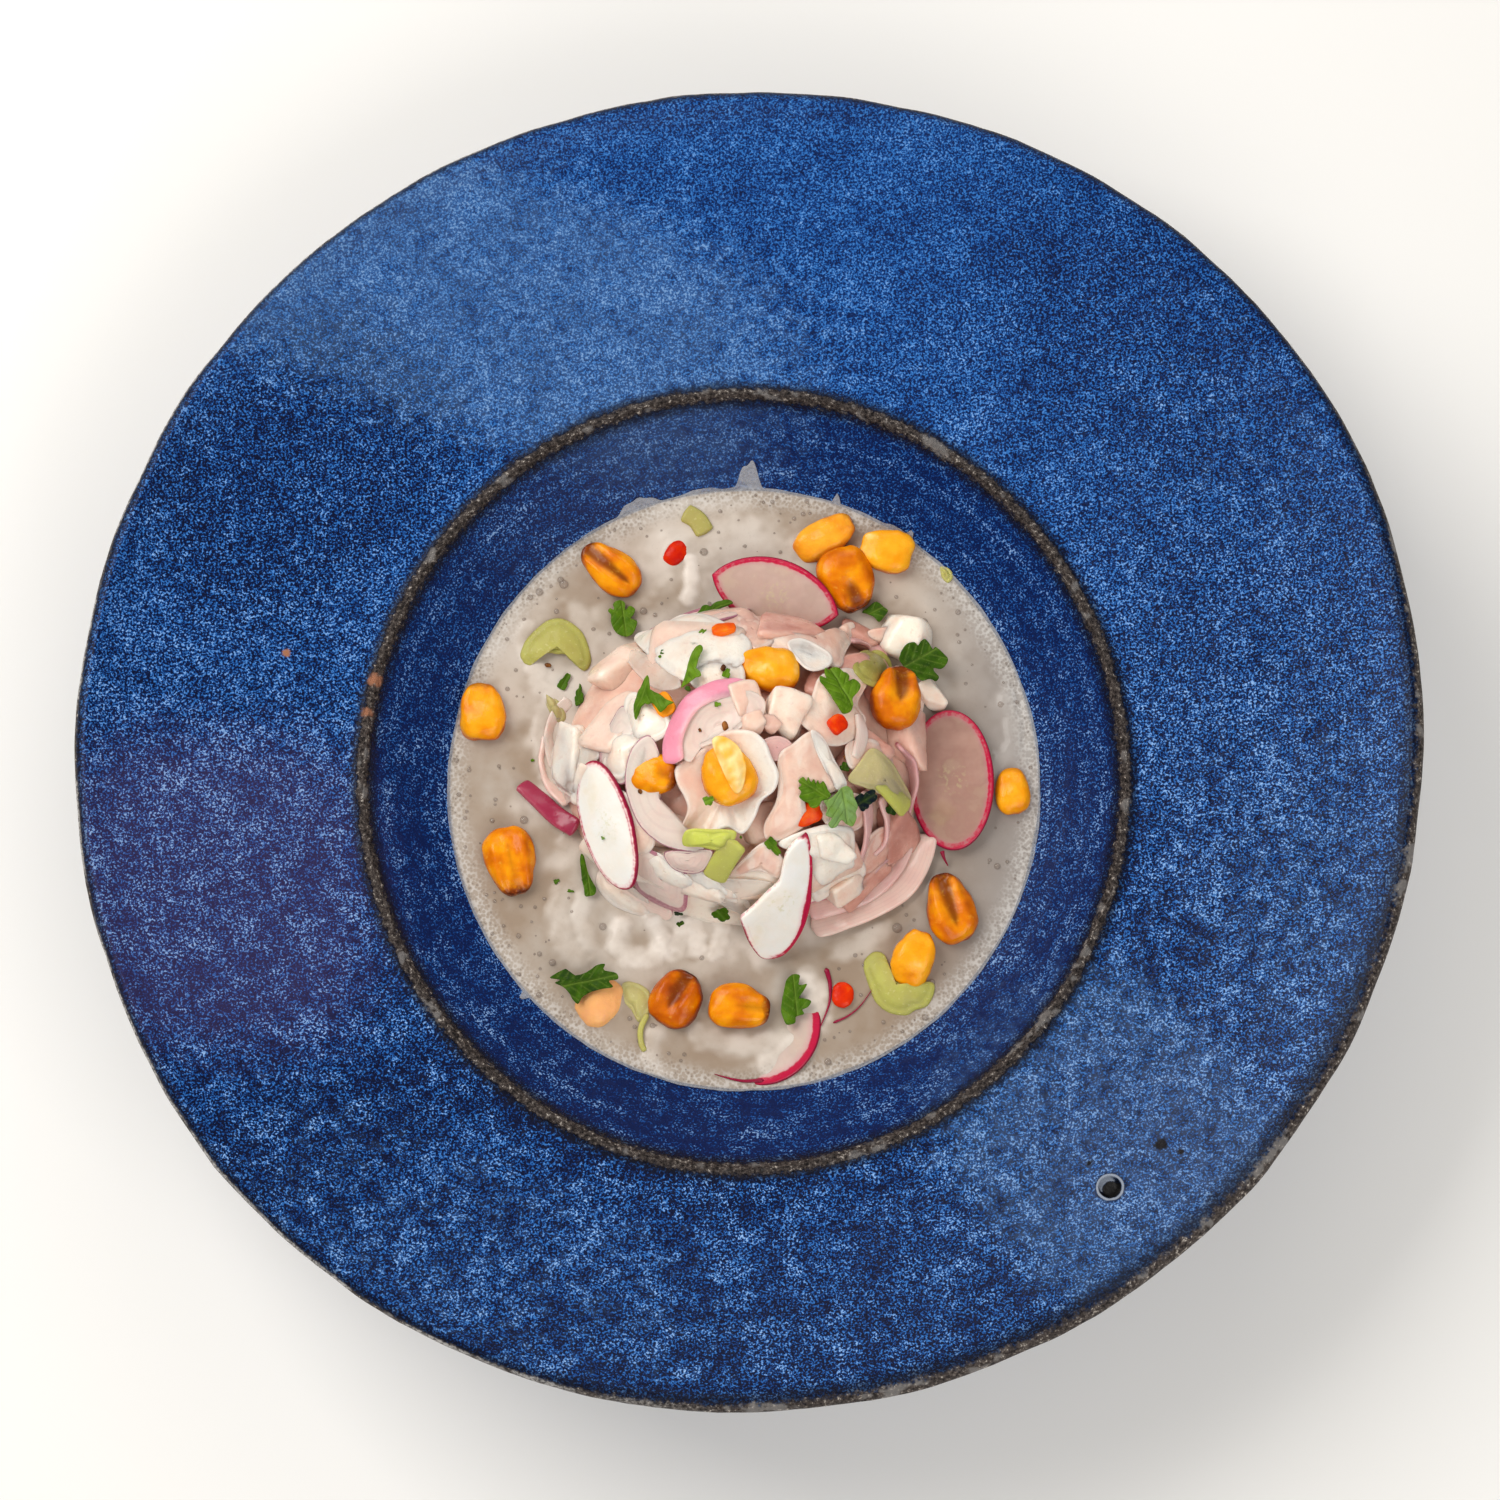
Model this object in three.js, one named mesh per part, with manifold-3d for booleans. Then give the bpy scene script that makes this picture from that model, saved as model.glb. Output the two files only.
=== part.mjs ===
/**
 * Ceviche in a wide-brimmed stoneware soup plate.
 *
 * Millimetres, +Z up. The origin is on the table under the middle of the plate's outline.
 * The plate holds a pool of milky citrus broth, and in it stands a heap of raw fish and onion,
 * dressed with toasted corn kernels, radish slices, celery, coriander leaves, chilli and onion.
 *
 * Places are [x, y] seen from above, headings are degrees turned from +X towards +Y. Pieces that touch
 * keep GAP between their faces: each solid is cut by the swollen copies of the solids above it.
 */
import Module from 'manifold-3d';
import * as THREE from 'three';
import { mergeVertices } from 'three/addons/utils/BufferGeometryUtils.js';

const wasm = await Module();
wasm.setup();

// ---------------------------------------------------------------- driving dimensions

const GAP = 0.3;
const UP = new THREE.Vector3(0, 0, 1);

// How often a corner is pushed out of each face round it, and how many margins it may move in all.
const SWELL_PASSES = 12;
const SHARPEST = 3;

const PLATE = {
  rimRadius: 145,
  rimTop: 58,
  rimThickness: 5.6,
  ringRadius: 84.5,
  ringTop: 42,
  ringHeight: 1.0,
  ringHalfWidth: 1.8,
  floorTop: 11,
  bowlPower: 2.37,
  wall: 6.6,
  footOuter: 54,
  footInner: 47,
  footHollow: 5,
  brimSag: 2.0,
  segments: 44,
};

// The well was thrown off centre and a little oval, and the outline has a few low lobes.
const THROWN = {
  wellOffset: [-1.3, -6.9],
  oval: 0.017,
  lobes: [
    { count: 2, height: 1.2, peak: 40 },
    { count: 3, height: 0.2, peak: 38 },
    { count: 4, height: 0.3, peak: 42 },
  ],
};

const SOUP_LEVEL = 28.5;

// The heap is an oval dome over the middle of the well, with low swells of a given spacing.
const HEAP = { x: -1.5, y: -3, reach: [40, 35.5], height: 21.5, power: 0.6, swell: 1.1, spacing: 5.5 };

const rad = THREE.MathUtils.degToRad;

/** A seeded source of numbers from 0 to 1. */
function dice(seed) {
  let state = (seed * 2654435761 + 12345) >>> 0;
  return () => {
    state = (Math.imul(state, 1664525) + 1013904223) >>> 0;
    return state / 4294967296;
  };
}

// ---------------------------------------------------------------- the plate's thrown form

/** How far a ring of radius r belongs to the well: 1 inside the ring ridge, 0 at the rim. */
function wellShare(r) {
  const t = THREE.MathUtils.clamp((PLATE.rimRadius - r) / (PLATE.rimRadius - PLATE.ringRadius - 2), 0, 1);
  return t * t * (3 - 2 * t);
}

/** Carries a point of the true round form to where the thrown form has it. */
function throwPoint(p) {
  const r = Math.hypot(p.x, p.y);
  const share = wellShare(r);
  const angle = Math.atan2(p.y, p.x);
  let lobe = 0;
  for (const { count, height, peak } of THROWN.lobes) {
    lobe += height * Math.cos(count * (angle - rad(peak)));
  }
  const reach = 1 + (lobe * (1 - share)) / PLATE.rimRadius;
  p.x = p.x * reach * (1 - THROWN.oval * share) + THROWN.wellOffset[0] * share;
  p.y = p.y * reach * (1 + THROWN.oval * share) + THROWN.wellOffset[1] * share;
  return p;
}

/** Radius, in the true round form, of a place in the thrown well. */
function wellRadius(x, y) {
  const [offX, offY] = THROWN.wellOffset;
  return Math.hypot((x - offX) / (1 - THROWN.oval), (y - offY) / (1 + THROWN.oval));
}

/** Height of the bowl's inner face at radius r: a flat floor that steepens towards the ring ridge. */
function bowlHeight(r) {
  return PLATE.floorTop + (PLATE.ringTop - PLATE.floorTop) * (r / PLATE.ringRadius) ** PLATE.bowlPower;
}

/** Radius at which the bowl's inner face has a height. */
function bowlRadius(z) {
  const share = (z - PLATE.floorTop) / (PLATE.ringTop - PLATE.floorTop);
  return PLATE.ringRadius * share ** (1 / PLATE.bowlPower);
}

const WALL_STOPS = [16, 31, 43, 55, bowlRadius(SOUP_LEVEL), 76];

/** A point moved off the bowl's inner face by a distance, square to it: up for a positive one. */
function offWall(r, distance) {
  const step = 0.5;
  const slope = (bowlHeight(r + step) - bowlHeight(Math.max(r - step, 0))) / (r < step ? r + step : 2 * step);
  const length = Math.hypot(1, slope);
  return new THREE.Vector2(Math.max(r - (distance * slope) / length, 0), bowlHeight(r) + distance / length);
}

/** Height of the brim's upper face at radius r, sagging a little between the ring ridge and the rim. */
function brimHeight(r) {
  const share = (r - PLATE.ringRadius) / (PLATE.rimRadius - PLATE.ringRadius);
  const straight = PLATE.ringTop - 0.4 + (PLATE.rimTop - PLATE.ringTop + 0.4) * share;
  return straight - PLATE.brimSag * 4 * share * (1 - share);
}

/** Profile of the plate, from the axis under the floor, round the foot and rim, to the axis on the floor. */
function plateProfile() {
  const { rimRadius, rimThickness, ringRadius, ringHalfWidth, ringTop, ringHeight, wall } = PLATE;
  const points = [
    new THREE.Vector2(0, PLATE.footHollow),
    new THREE.Vector2(PLATE.footInner - 2, PLATE.footHollow),
    new THREE.Vector2(PLATE.footInner, 0),
    new THREE.Vector2(PLATE.footOuter - 1, 0),
    new THREE.Vector2(PLATE.footOuter, 1),
    new THREE.Vector2(PLATE.footOuter + 1, bowlHeight(PLATE.footOuter) - wall - 2),
  ];
  for (const r of [66, 76]) {
    points.push(offWall(r, -wall));
  }
  points.push(new THREE.Vector2(ringRadius + 7, brimHeight(ringRadius + 7) - wall - 1.5));
  for (const r of [112, 130]) {
    points.push(new THREE.Vector2(r, brimHeight(r) - wall));
  }
  const edge = rimThickness / 2;
  for (const turn of [-80, -35, 10, 50, 90]) {
    const out = rimRadius - edge + edge * Math.cos(rad(turn));
    points.push(new THREE.Vector2(out, PLATE.rimTop - edge + edge * Math.sin(rad(turn))));
  }
  for (const r of [128, 112, 98]) {
    points.push(new THREE.Vector2(r, brimHeight(r)));
  }
  points.push(new THREE.Vector2(ringRadius + ringHalfWidth + 1, brimHeight(ringRadius + ringHalfWidth + 1)));
  points.push(new THREE.Vector2(ringRadius + ringHalfWidth / 2, ringTop + ringHeight));
  points.push(new THREE.Vector2(ringRadius - ringHalfWidth / 2, ringTop + ringHeight - 0.1));
  for (const r of [...WALL_STOPS].reverse()) {
    points.push(new THREE.Vector2(r, bowlHeight(r)));
  }
  points.push(new THREE.Vector2(0, PLATE.floorTop));
  return points;
}

// ---------------------------------------------------------------- shaping and joining

/** Moves every corner of a geometry by change(point), which alters the point in place. */
function shaped(geometry, change) {
  const { position } = geometry.attributes;
  const p = new THREE.Vector3();
  for (let i = 0; i < position.count; i += 1) {
    p.fromBufferAttribute(position, i);
    change(p);
    position.setXYZ(i, p.x, p.y, p.z);
  }
  return geometry;
}

/** A body of revolution about +Z. */
function turned(profile, segments) {
  return new THREE.LatheGeometry(profile, segments).rotateX(Math.PI / 2);
}

/** The geometry with shared corners, without triangles that closed up when corners met. */
function welded(geometry) {
  const bare = geometry.clone();
  bare.deleteAttribute('normal');
  bare.deleteAttribute('uv');
  const merged = mergeVertices(bare, 1e-4);
  const kept = [];
  const { array } = merged.index;
  for (let i = 0; i < array.length; i += 3) {
    const [a, b, c] = [array[i], array[i + 1], array[i + 2]];
    if (a !== b && b !== c && c !== a) {
      kept.push(a, b, c);
    }
  }
  merged.setIndex(kept);
  return merged;
}

/** Volume inside a welded geometry, negative where its faces point in. */
function signedVolume({ attributes, index }) {
  const [a, b, c] = [new THREE.Vector3(), new THREE.Vector3(), new THREE.Vector3()];
  let total = 0;
  for (let i = 0; i < index.count; i += 3) {
    a.fromBufferAttribute(attributes.position, index.getX(i));
    b.fromBufferAttribute(attributes.position, index.getX(i + 1));
    c.fromBufferAttribute(attributes.position, index.getX(i + 2));
    total += a.dot(b.cross(c)) / 6;
  }
  return total;
}

/** Moves each corner of a welded geometry out until every face that meets there is a margin further out. */
function swell({ attributes, index }, margin) {
  const { position } = attributes;
  const normals = Array.from({ length: position.count }, () => []);
  const face = new THREE.Triangle();
  for (let i = 0; i < index.count; i += 3) {
    const corners = [index.getX(i), index.getX(i + 1), index.getX(i + 2)];
    face.setFromAttributeAndIndices(position, ...corners);
    const normal = face.getNormal(new THREE.Vector3());
    corners.forEach((corner) => normals[corner].push(normal));
  }
  const p = new THREE.Vector3();
  normals.forEach((around, corner) => {
    const move = new THREE.Vector3();
    for (let pass = 0; pass < SWELL_PASSES; pass += 1) {
      for (const normal of around) {
        move.addScaledVector(normal, Math.max(margin - move.dot(normal), 0));
      }
    }
    p.fromBufferAttribute(position, corner).add(move.clampLength(0, SHARPEST * margin));
    position.setXYZ(corner, p.x, p.y, p.z);
  });
}

/** A closed geometry as a solid, swollen by a margin. */
function solid(geometry, margin = 0) {
  const mesh = welded(geometry);
  if (signedVolume(mesh) < 0) {
    const { array } = mesh.index;
    for (let i = 0; i < array.length; i += 3) {
      [array[i], array[i + 1]] = [array[i + 1], array[i]];
    }
  }
  if (margin > 0) {
    swell(mesh, margin);
  }
  const vertProperties = new Float32Array(mesh.attributes.position.array);
  const triVerts = new Uint32Array(mesh.index.array);
  return new wasm.Manifold(new wasm.Mesh({ numProp: 3, vertProperties, triVerts }));
}

/** The largest body of a solid: loose scraps left by a cut are dropped. */
function largest(form) {
  return form.decompose().reduce((best, next) => (next.volume() > best.volume() ? next : best));
}

/** A named mesh of a solid. */
function meshOf(name, form, material) {
  const { vertProperties, triVerts } = form.getMesh();
  const geometry = new THREE.BufferGeometry();
  geometry.setAttribute('position', new THREE.BufferAttribute(vertProperties, 3));
  geometry.setIndex(new THREE.BufferAttribute(triVerts, 1));
  geometry.computeVertexNormals();
  const mesh = new THREE.Mesh(geometry, material);
  mesh.name = name;
  return mesh;
}

// ---------------------------------------------------------------- the ground that pieces lie on

/** Height of the heap's bare core over a place, or of the soup beside it. */
function groundHeight(x, y) {
  const q = ((x - HEAP.x) / HEAP.reach[0]) ** 2 + ((y - HEAP.y) / HEAP.reach[1]) ** 2;
  if (q >= 1) {
    return SOUP_LEVEL;
  }
  const swell = HEAP.swell * Math.sin(x / HEAP.spacing + 1) * Math.cos(y / HEAP.spacing);
  return SOUP_LEVEL + (HEAP.height + swell) * (1 - q) ** HEAP.power;
}

/** The way up from the ground over a place, no steeper than the heap's middle slope. */
function groundNormal(x, y) {
  const step = 4;
  const dx = (groundHeight(x + step, y) - groundHeight(x - step, y)) / (2 * step);
  const dy = (groundHeight(x, y + step) - groundHeight(x, y - step)) / (2 * step);
  return new THREE.Vector3(-dx, -dy, 1).normalize();
}

/**
 * Lays a geometry, made about its own origin with its length along +X and its upper face towards +Z,
 * on the ground at a place: first pitched and rolled, then turned to its heading, then leant with the slope.
 */
function laid(geometry, { at: [x, y], heading = 0, pitch = 0, roll = 0, lift = 0, lean = 1 }) {
  const normal = groundNormal(x, y).multiplyScalar(lean).addScaledVector(UP, 1 - lean).normalize();
  geometry.rotateX(rad(roll));
  geometry.rotateY(rad(-pitch));
  geometry.rotateZ(rad(heading));
  geometry.applyQuaternion(new THREE.Quaternion().setFromUnitVectors(UP, normal));
  return geometry.translate(x, y, groundHeight(x, y) + lift);
}

// ---------------------------------------------------------------- piece forms

/** A toasted kernel: blunt crown, narrow tip towards +X, and a germ groove along its upper face. */
function kernelForm({ length, width, thick = 0.62 }) {
  const ball = new THREE.SphereGeometry(1, 8, 6).rotateZ(-Math.PI / 2);
  const bend = (v, power) => Math.sign(v) * Math.abs(v) ** power;
  return shaped(ball, (p) => {
    const along = p.x;
    const girth = Math.max(Math.hypot(p.y, p.z), 1e-6);
    const fullness = girth ** 0.72 * (1 - 0.2 * along);
    const groove = 0.2 * Math.exp(-((p.y / girth / 0.5) ** 2)) * THREE.MathUtils.smoothstep(along, -0.6, 0.5);
    p.x = (bend(along, 0.85) * length) / 2;
    const [across, high] = [p.y / girth, p.z / girth];
    p.y = (bend(across, 0.8) * fullness * width) / 2;
    p.z = ((bend(high, 0.8) - (high > 0 ? groove : 0)) * fullness * width * thick) / 2;
  });
}

/** A thin round slice whose outline is reach(angle) and whose middle is dished by a depth. */
function sliceForm({ reach, thickness, dish = 0, segments = 24 }) {
  const half = thickness / 2;
  const profile = [
    new THREE.Vector2(0, -half),
    new THREE.Vector2(1, -half),
    new THREE.Vector2(1, half),
    new THREE.Vector2(0, half),
  ];
  return shaped(turned(profile, segments), (p) => {
    const r = Math.hypot(p.x, p.y);
    const out = r * reach(Math.atan2(p.y, p.x));
    const angle = Math.atan2(p.y, p.x);
    p.set(out * Math.cos(angle), out * Math.sin(angle), p.z + dish * r * r);
  });
}

/** Outline radius of an ellipse with half axes a and b, drawn to a point at both ends by a sharpness. */
function ellipseReach(a, b, sharp = 0) {
  return (angle) => {
    const [c, s] = [Math.cos(angle), Math.sin(angle)];
    const round = 1 / Math.hypot(c / a, s / b);
    return round * (1 - sharp * (2 * c * s) ** 2);
  };
}

/** A slice cut down on one side: the ellipse, with nothing past the line y = cut. */
function cutReach(a, b, cut) {
  const full = ellipseReach(a, b);
  return (angle) => {
    const s = Math.sin(angle);
    return s > 0 ? Math.min(full(angle), cut / Math.max(s, 1e-3)) : full(angle);
  };
}

/**
 * A band bent round an arc, as cut onion and celery are. Its ends are sweep degrees apart, it is deep
 * along the arc's radius and tall along +Z, and its upper edge leans out by flare.
 */
function bandForm({ radius, sweep, deep, tall, flare = 0, steps = 7, taper = 0 }) {
  const bar = new THREE.BoxGeometry(1, 1, 1, steps, 1, 1);
  return shaped(bar, (p) => {
    const angle = rad(sweep) * p.x;
    const slim = 1 - taper * (2 * p.x) ** 2;
    const r = radius + p.y * deep * slim + flare * p.z * 2;
    p.set(r * Math.sin(angle), r * Math.cos(angle) - radius, p.z * tall * slim);
  });
}

/** A lump of fish: a rounded block with an uneven skin. */
function lumpForm({ size: [length, width, height], seed, square = 0.7 }) {
  const next = dice(seed);
  const waves = [1, 2, 3, 4].map(() => [next() * 3 + 1, next() * 3 + 1, next() * 3 + 1, next() * 6.3]);
  const bend = (v) => Math.sign(v) * Math.abs(v) ** square;
  return shaped(new THREE.SphereGeometry(1, 7, 5), (p) => {
    let swell = 0.5;
    for (const [kx, ky, kz, phase] of waves) {
      swell += 0.035 * Math.sin(kx * p.x + ky * p.y + kz * p.z + phase);
    }
    p.set(bend(p.x) * length * swell, bend(p.y) * width * swell, bend(p.z) * height * swell);
  });
}

/** A thin petal of fish with a waving edge, cupped by a depth. */
function petalForm({ length, width, thickness = 1.6, waves = 4, wave = 1.6, cup = 3, seed = 1 }) {
  const next = dice(seed);
  const phase = next() * 6.3;
  const reach = ellipseReach(length / 2, width / 2);
  return shaped(sliceForm({ reach, thickness, segments: 12 }), (p) => {
    const angle = Math.atan2(p.y, p.x);
    const share = Math.min(Math.hypot(p.x, p.y) / reach(angle), 1);
    const swell = 1 + 0.12 * share * Math.sin(waves * angle + phase);
    p.x *= swell;
    p.y *= swell;
    p.z += share * share * (cup + wave * Math.sin(waves * angle + phase + 1));
  });
}

// One lobe of a leaf, as [turn in half lobes, reach]: notch, tooth, dip, tip, dip, tooth.
const LOBE = [[-0.95, 0.34], [-0.5, 0.74], [-0.32, 0.66], [0, 1], [0.32, 0.68], [0.55, 0.72]];

/** Outline of a coriander leaf: lobes fanned about the stalk's end, each with two side teeth. */
function leafOutline(length, width, lobes) {
  const points = [new THREE.Vector2(-0.62, -0.05)];
  const spread = lobes > 1 ? 150 / (lobes - 1) : 0;
  for (let i = 0; i < lobes; i += 1) {
    const centre = lobes > 1 ? -75 + spread * i : 0;
    const long = 1 - 0.22 * Math.abs(centre / 75);
    const half = lobes > 1 ? spread / 2 : 50;
    for (const [turn, r] of LOBE) {
      const angle = rad(centre + turn * half);
      points.push(new THREE.Vector2(Math.cos(angle), Math.sin(angle)).multiplyScalar(r * long * 0.8));
      points[points.length - 1].x -= 0.25;
    }
  }
  points.push(new THREE.Vector2(-0.12, 0.2));
  points.push(new THREE.Vector2(-0.62, 0.05));
  const across = Math.max(...points.map((p) => Math.abs(p.y)));
  return points.map((p) => new THREE.Vector2((p.x * length) / 1.17, (p.y * width) / 2 / across));
}

/** A thin waving leaf. */
function leafForm({ length, width, lobes = 3, thickness = 0.7, curl = 1.2 }) {
  const sheet = new THREE.ExtrudeGeometry(new THREE.Shape(leafOutline(length, width, lobes)), {
    depth: thickness,
    bevelEnabled: false,
  });
  return shaped(sheet, (p) => {
    const [u, v] = [(2 * p.x) / length, (2 * p.y) / width];
    p.z += curl * (0.5 * Math.sin(2.4 * u + 0.6) - 0.6 * v * v * (1 - 0.5 * u));
  });
}

/** A chip of chilli: a skewed many-sided flake. */
function chipForm({ length, width, height = 1.6, sides = 7, seed = 1 }) {
  const next = dice(seed);
  const skew = Array.from({ length: sides }, () => 0.82 + 0.3 * next());
  return shaped(new THREE.CylinderGeometry(0.42, 0.5, 1, sides).rotateX(Math.PI / 2), (p) => {
    const side = Math.round((Math.atan2(p.y, p.x) / (2 * Math.PI)) * sides + sides) % sides;
    p.set(p.x * length * skew[side], p.y * width * skew[side], p.z * height);
  });
}

// ---------------------------------------------------------------- what is laid where

// Kernels float half out of the soup or sit on the heap. Their tips point along the heading.
const CORN = [
  { at: [-31, 42], heading: 140, length: 15, width: 9.6, lift: 0.8 },
  { at: [-59.3, 9.4], heading: 93, length: 12.8, width: 10.2, lift: 1.2 },
  { at: [-52.6, -23.8], heading: -78, length: 15.2, width: 11.6, lift: 0.8 },
  { at: [-32.6, -55.2], heading: 35, length: 11.5, width: 10, lift: -0.9, roll: 14 },
  { at: [-16, -54.4], heading: 62, length: 12.6, width: 11.6, lift: 0.3, roll: -12 },
  { at: [-2.4, -56.4], heading: -4, length: 13.4, width: 10.2, lift: 1.6 },
  { at: [44, -34.4], heading: 107, length: 15.8, width: 11, lift: 1.2 },
  { at: [35.8, -45.4], heading: 72, length: 12.8, width: 9.4, lift: 1.6, pitch: 14 },
  { at: [58, -8.4], heading: 95, length: 10.2, width: 8.2, lift: 0.9 },
  { at: [32, 10.4], heading: 80, length: 14.4, width: 12, lift: 5.8, lean: 0.4 },
  { at: [21.6, 39.4], heading: -68, length: 14.8, width: 12.6, lift: 2.2, lean: 0 },
  { at: [16.8, 49.4], heading: 30, length: 14.6, width: 9, lift: 0.4, pitch: 8 },
  { at: [30.4, 46.2], heading: 168, length: 12, width: 9.4, lift: 1.4 },
  { at: [4.1, 15.4], heading: 172, length: 13.6, width: 10.8, lift: 3.2, lean: 0.7 },
  { at: [-21, -8], heading: -12, length: 10.8, width: 10, lift: 2.3, lean: 0.6, pitch: 12 },
  { at: [-4.6, -9.2], heading: 118, length: 13.2, width: 11.8, lift: 4.8, lean: 0.3 },
];

const RADISH = [
  {
    at: [5.6, 35.4],
    heading: -18,
    form: { reach: ellipseReach(14.8, 8, 0.2), thickness: 1.3 },
    roll: 16,
    lift: 4.4,
    lean: 0,
  },
  {
    at: [44.8, -6],
    heading: 92,
    form: { reach: ellipseReach(15.8, 8.8), thickness: 1.3, dish: -0.8 },
    roll: -6,
    lift: 2.8,
    lean: 0,
  },
  {
    at: [-31.2, -18.4],
    heading: -75,
    form: { reach: ellipseReach(14.6, 7.4), thickness: 1.4, dish: -1 },
    roll: 18,
    lift: 5,
    lean: 0.6,
  },
  {
    at: [7, -34.8],
    heading: 71,
    form: { reach: cutReach(14.2, 8.8, 5.4), thickness: 1.4, dish: -0.9 },
    roll: 6,
    lift: 5.8,
    lean: 0.75,
  },
  {
    at: [1.6, -59.6],
    heading: -38,
    form: { reach: ellipseReach(14.2, 13.8), thickness: 1.3 },
    pitch: 9.3,
    lift: -1.8,
    lean: 0,
  },
];

const CELERY = [
  {
    at: [-43.2, 22.4],
    heading: 0,
    form: { radius: 6.2, sweep: 190, deep: 5.4, tall: 2.6, taper: 0.3 },
    lift: 0.2,
  },
  { at: [-44, 10.6], heading: 105, form: { radius: 20, sweep: 24, deep: 3.2, tall: 2.2, steps: 3 }, lift: 0 },
  { at: [43.6, 40.2], heading: 70, form: { radius: 14, sweep: 20, deep: 2.8, tall: 2, steps: 3 }, lift: 0 },
  {
    at: [27, 18],
    heading: 140,
    form: { radius: 7, sweep: 72, deep: 6.4, tall: 2.4, steps: 5, taper: 0.3 },
    lift: 1.7,
  },
  {
    at: [29, -9.4],
    heading: -42,
    form: { radius: 26, sweep: 38, deep: 6, tall: 2.4, steps: 6, taper: 0.2 },
    lift: 3.6,
    lean: 0.8,
  },
  {
    at: [-9.2, -21.8],
    heading: -4,
    form: { radius: 60, sweep: 12, deep: 4.4, tall: 2.6, steps: 3 },
    lift: 6.6,
    lean: 0.8,
  },
  {
    at: [32.4, -48.2],
    heading: 182,
    form: { radius: 5.6, sweep: 200, deep: 4.6, tall: 2.6, taper: 0.25 },
    lift: 0.2,
  },
  {
    at: [-24.6, -54.8],
    heading: 95,
    form: { radius: 12, sweep: 40, deep: 4.6, tall: 2.2, steps: 4, taper: 0.2 },
    lift: -0.4,
  },
];

const CORIANDER = [
  { at: [-28, 30.8], heading: -82, form: { length: 9, width: 7, lobes: 3 }, lift: 1 },
  { at: [-7.6, 32], heading: 20, form: { length: 8.4, width: 4, lobes: 1 }, lift: 3.4, lean: 0.6 },
  { at: [-12.6, 16.8], heading: -108, form: { length: 9.8, width: 4.4, lobes: 1 }, lift: 6.4 },
  { at: [-22.4, 11], heading: -150, form: { length: 10, width: 8.2, lobes: 3 }, lift: 6 },
  { at: [19.6, 11.2], heading: 118, form: { length: 13, width: 9, lobes: 3 }, lift: 4.8 },
  { at: [38.4, 21.4], heading: 30, form: { length: 11.2, width: 10, lobes: 4 }, lift: 4.4, lean: 0 },
  { at: [28, 32.4], heading: 25, form: { length: 6.4, width: 5, lobes: 3 }, lift: 1.4 },
  { at: [13.6, -12.2], heading: 150, form: { length: 8.4, width: 7.6, lobes: 3 }, lift: 4.8 },
  { at: [20.6, -16.8], heading: -78, form: { length: 9, width: 8, lobes: 3 }, lift: 4.3 },
  { at: [-35.6, -27.4], heading: -82, form: { length: 9.6, width: 4.4, lobes: 1 }, lift: 1.2, lean: 0.2 },
  { at: [-36.6, -51.2], heading: 12, form: { length: 15, width: 8.6, lobes: 3 }, lift: 3.2, lean: 0 },
  { at: [10, -54.6], heading: 96, form: { length: 11.6, width: 7.4, lobes: 3 }, lift: 1.6 },
];

const CHILLI = [
  { at: [-16.6, 45.8], heading: 55, form: { length: 6, width: 4.8, seed: 1 }, lift: 0.4 },
  { at: [-5.6, 24.4], heading: 10, form: { length: 5.2, width: 3.4, seed: 2 }, lift: 5.9 },
  { at: [-18.6, 6.6], heading: 120, form: { length: 5.2, width: 4.4, seed: 3 }, lift: 5.6 },
  { at: [18.8, 2], heading: 40, form: { length: 4.2, width: 4, seed: 4 }, lift: 7.7 },
  { at: [12.4, -17.2], heading: 20, form: { length: 6.4, width: 5, seed: 5 }, lift: 3.9 },
  { at: [20.2, -53.6], heading: 80, form: { length: 5.6, width: 4.8, seed: 6 }, lift: 0.6 },
];

// Onion strips that lie loose enough to be lifted off: bands that stand on edge.
const ONION = [
  {
    at: [-10.4, 10],
    heading: 36,
    form: { radius: 12, sweep: 118, deep: 1.6, tall: 5, flare: 0.8 },
    lift: 6.2,
    lean: 0.6,
  },
  {
    at: [-43.2, -12.6],
    heading: -38,
    form: { radius: 24, sweep: 36, deep: 2.2, tall: 3, steps: 5, taper: 0.4 },
    lift: 1,
    lean: 0,
  },
  {
    at: [31.6, -32],
    heading: 221,
    form: { radius: 23, sweep: 84, deep: 1.8, tall: 5, flare: 1.2 },
    lift: 1.4,
    lean: 0,
  },
];

// Chunks of fish that stand in the soup beside the heap, sized [length, width, height].
const CHUNKS = [{ at: [34.6, 26.4], heading: -12, size: [13, 10.4, 10], lift: -0.6, lean: 0 }];

// Fish lumps joined to the heap's core.
const LUMPS = [
  { at: [-13.5, 18.6], heading: -8, size: [21, 14, 7], lift: 1.6 },
  { at: [9.5, 24.5], heading: 8, size: [17, 10, 7], lift: 1.8 },
  { at: [19, 13], heading: 44, size: [16, 11, 7], lift: 1.6 },
  { at: [-38, -1.5], heading: 85, size: [15, 11, 9], lift: 1.2 },
  { at: [-28.5, 4.2], heading: 60, size: [15, 11, 7], lift: 1.6 },
  { at: [7.3, 4.4], heading: 70, size: [10, 9, 8], lift: 1.8 },
  { at: [13.4, -8.6], heading: -56, size: [20, 12, 6], lift: 1.6 },
  { at: [16, -25], heading: 24, size: [17, 13, 8], lift: 1.6 },
  { at: [-16, -27.6], heading: -16, size: [20, 9, 7], lift: 1 },
  { at: [-30, -24], heading: -52, size: [15, 9, 6], lift: 1.2 },
  { at: [31.5, -18], heading: -70, size: [15, 9, 7], lift: 1.4 },
  { at: [25, -28.4], heading: 42, size: [16, 9, 7], lift: 1.6 },
  { at: [34, 3], heading: 82, size: [13, 9, 7], lift: 1.6 },
  { at: [-29, 19], heading: 48, size: [15, 9, 6], lift: 1.6 },
];

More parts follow.
